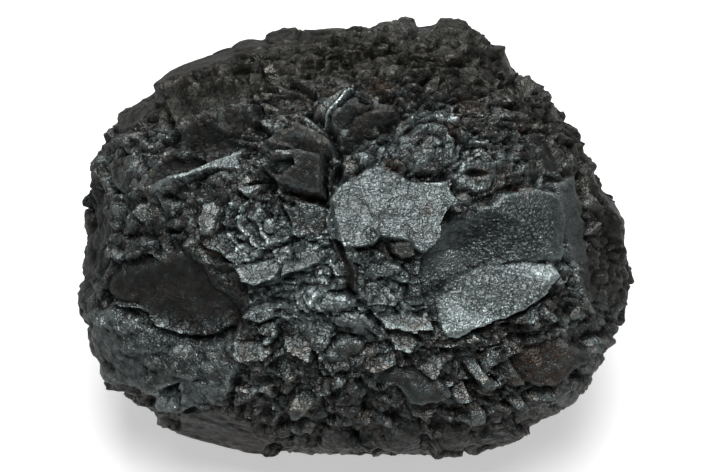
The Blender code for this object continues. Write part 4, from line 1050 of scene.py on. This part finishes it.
def stone_colour(n, place, layer, p):
    """Dark to bright with the lustre and painted highlight, warmer low down and on the streaks, darker in
    joints, and rusty, with painted shade in hollow places and grooves and a painted highlight on ridges.
    """
    tone, _ = n.noise(place, TONES, 5.0, 0.65)
    chipped = n.product(n.fade(p.coarse_number, 0.0, 1.0, -0.35, 0.35), n.fade(p.broken, 0.4, 1.0))
    spread = n.math("ADD", n.fade(tone, 0.3, 0.7, -0.3, 0.3), chipped)
    # The lustre and painted highlight, with random tone, sets how far the colour goes from dark to bright
    shine = n.math("ADD", layer.sheen, n.product(spread, n.fade(layer.sheen, 0.1, 0.6, 0.4, 1.0)))

    hue, _ = n.noise(place, HUES, 3.0, 0.6)
    level = n.add("SeparateXYZ", None, Vector=place).outputs["Z"]
    low = n.fade(level, LOW_STONE * MM, 0.0, 0.0, 0.2)
    warm = n.math("MAXIMUM", layer.streaks, n.fade(n.math("ADD", hue, low), 0.45, 0.6, 0.0, 0.9))
    warm = n.product(warm, n.fade(layer.sheen, 0.55, 0.8, 1.0, 0.2))
    dark = n.mix(warm, COLOURS["dark"], COLOURS["warm dark"])
    # The streaked colour is painted lighter, as if the top of the rim were lit at a grazing angle
    dark = n.mix(layer.streaks, dark, COLOURS["streaked_and_painted_rim_light"])
    bright = n.mix(warm, COLOURS["bright"], COLOURS["warm bright"])
    colour = n.mix(n.fade(shine, 0.0, 1.0), dark, bright)

    # Painted shade in the streaks' furrows and between the coarse grains
    painted_furrow_shade = n.product(n.fade(p.streaky, 0.45, 0.15), layer.streaks)
    between = n.product(n.fade(p.grains, 0.34, 0.62), layer.grain)
    # Painted shade in hollows, between the crinkles' ridges, in furrows and between grains, a painted
    # highlight on ridges, dark joints along cracks, and a painted glint where the highlight goes over 1
    depth = n.product(n.fade(layer.hollow, 0.55, 0.95, 1.0, 0.25),
                      n.fade(layer.hollow, 0.45, 0.1, 1.0, 1.9),
                      n.fade(p.crinkles, 0.2, 0.5, 0.6, 1.0),
                      n.fade(p.cracked, 0.0, 1.0, 1.0, 0.3),
                      n.fade(p.parted, 0.0, 1.0, 1.0, 0.5),
                      n.fade(painted_furrow_shade, 0.0, 1.0, 1.0, 0.35),
                      n.fade(between, 0.0, 1.2, 1.0, 0.35),
                      n.fade(layer.sheen, 1.0, 2.0, 1.0, 6.0))
    colour = n.vector("SCALE", colour, depth)
    flecks, _ = n.noise(place, FLECKS, 4.0, 0.7)
    return n.mix(n.product(layer.rust, n.fade(flecks, 0.4, 0.6)), colour, COLOURS["rust"])


def stone_material():
    """Black stone with a metallic lustre and painted highlights and shade, crinkled into fine chips, with
    rust and dark joints.
    """
    material = bpy.data.materials.new("black siderite")
    material.use_nodes = True
    n = Nodes(material)
    place = n.add("TexCoord").outputs["Object"]
    # Layers of the lustre and painted highlight, roughness, rust, grain, streaks and hollows for painted
    # shade
    layer = SimpleNamespace(**{name: n.add("Attribute", {"attribute_name": name}).outputs["Fac"]
                               for name in ("sheen", "rough", "rust", "grain", "streaks", "hollow")})
    p = stone_patterns(n, place, layer)
    shader = n.nodes["Principled BSDF"]
    shader.inputs["Metallic"].default_value = METALLIC
    n.link(stone_colour(n, place, layer, p), shader.inputs["Base Color"])
    gloss = n.math("ADD", n.product(p.fine_number, 0.4), n.product(p.dust, 0.6))
    dull = n.fade(layer.sheen, 0.0, 0.5, 0.25, 0.0)
    n.link(n.math("ADD", n.fade(gloss, 0.2, 0.8, 0.2, 0.4), dull), shader.inputs["Roughness"])
    bump = n.add("Bump", None, Strength=1.0, Distance=1.0, Height=stone_relief(n, layer, p))
    n.link(bump.outputs["Normal"], shader.inputs["Normal"])
    return material


def build_surface():
    mesh, rays = cube_ball(GRID)
    rays = unit(rays + FRONT_CROWDING * FRONT.toward)
    edges = np.array([[vertex.index for vertex in edge.verts] for edge in mesh.edges])
    rays = evened(rays, edges, EVENING_ROUNDS)
    stone = shaped(rays)
    middle = np.array((*BOX_MIDDLE, -REST_DROP))
    points = (stone.rays * stone.reach[:, None] - middle) * MM
    for vertex, point in zip(mesh.verts, points):
        vertex.co = point
    data = bpy.data.meshes.new("nodule_surface")
    mesh.to_mesh(data)
    mesh.free()
    data.polygons.foreach_set("use_smooth", [True] * len(data.polygons))
    data.set_sharp_from_angle(angle=math.radians(SHARP_DEGREES))
    # Layers for the material: lustre with painted highlight, roughness, rust, grain, streaks, and hollows
    # that get painted shade
    layers = {name: getattr(stone, name) for name in ("sheen", "rough", "rust", "grain", "streaks")}
    layers["hollow"] = cavity_for_painted_shade(stone.reach, edges)
    for name, values in layers.items():
        data.attributes.new(name, "FLOAT", "POINT").data.foreach_set("value", values.astype(np.float32))
    data.materials.append(stone_material())
    surface = bpy.data.objects.new("nodule_surface", data)
    bpy.context.scene.collection.objects.link(surface)
    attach(surface, "root")
    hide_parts("nodule")
    return surface


def build_floor():
    """A wide pale floor that the stone rests on."""
    mesh = bmesh.new()
    bmesh.ops.create_grid(mesh, x_segments=1, y_segments=1, size=FLOOR_SIZE)
    data = bpy.data.meshes.new("floor")
    mesh.to_mesh(data)
    mesh.free()
    material = bpy.data.materials.new("pale floor")
    material.use_nodes = True
    shader = material.node_tree.nodes["Principled BSDF"]
    shader.inputs["Base Color"].default_value = (FLOOR_TONE, FLOOR_TONE, FLOOR_TONE, 1.0)
    shader.inputs["Roughness"].default_value = 0.9
    shader.inputs["Emission Color"].default_value = (1.0, 1.0, 1.0, 1.0)
    shader.inputs["Emission Strength"].default_value = FLOOR_GLOW
    data.materials.append(material)
    floor = bpy.data.objects.new("floor", data)
    floor.visible_diffuse = False
    floor.visible_glossy = False
    bpy.context.scene.collection.objects.link(floor)


def add_softbox(name, azimuth, elevation, distance, size, power):
    """A square area light that faces the stone's middle."""
    toward = Vector(Sight(azimuth, elevation).toward)
    data = bpy.data.lights.new(name, "AREA")
    data.size = size
    data.energy = power
    lamp = bpy.data.objects.new(name, data)
    lamp.location = Vector((0, 0, REST_DROP * MM)) + toward * distance
    lamp.rotation_euler = toward.to_track_quat("Z", "Y").to_euler()
    bpy.context.scene.collection.objects.link(lamp)


def light_and_world():
    for name, numbers in SOFTBOXES.items():
        add_softbox(name, *numbers)
    world = bpy.data.worlds.new("studio")
    world.use_nodes = True
    n = Nodes(world)
    height = n.add("SeparateXYZ", None, Vector=n.add("TexCoord").outputs["Generated"]).outputs["Z"]
    backdrop = n.nodes["Background"]
    backdrop.inputs["Color"].default_value = (1.0, 1.0, 1.0, 1.0)
    n.link(n.fade(height, -0.3, 0.15, GROUND_LIGHT, ROOM_LIGHT), backdrop.inputs["Strength"])
    bpy.context.scene.world = world
    bpy.context.scene.view_settings.view_transform = "Standard"


def add_camera():
    """The camera looks along the photograph's sight, with its middle a little off the stone's middle."""
    data = bpy.data.cameras.new("camera")
    data.sensor_width = SENSOR_WIDTH
    data.lens = SENSOR_WIDTH * VIEW_DISTANCE * PX_PER_MM / FRAME_PX[0]
    camera = bpy.data.objects.new("camera", data)
    off_right, off_up = FRONT.places(np.array(FRAME_PX) / 2.0)
    middle = np.array((-BOX_MIDDLE[0], -BOX_MIDDLE[1], REST_DROP))
    aim = middle + off_right * FRONT.right + off_up * FRONT.up
    camera.location = Vector(aim + VIEW_DISTANCE * FRONT.toward) * MM
    camera.rotation_euler = (math.radians(90.0 - VIEW_ELEVATION), 0.0, 0.0)
    bpy.context.scene.collection.objects.link(camera)
    bpy.context.scene.camera = camera


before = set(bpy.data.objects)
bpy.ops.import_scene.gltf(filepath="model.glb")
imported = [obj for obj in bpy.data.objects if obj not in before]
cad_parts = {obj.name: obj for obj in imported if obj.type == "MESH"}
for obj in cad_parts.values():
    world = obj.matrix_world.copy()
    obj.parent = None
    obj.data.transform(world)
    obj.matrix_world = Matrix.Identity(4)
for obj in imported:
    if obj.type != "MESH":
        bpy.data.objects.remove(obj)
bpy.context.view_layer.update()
build_surface()
build_floor()
light_and_world()
add_camera()
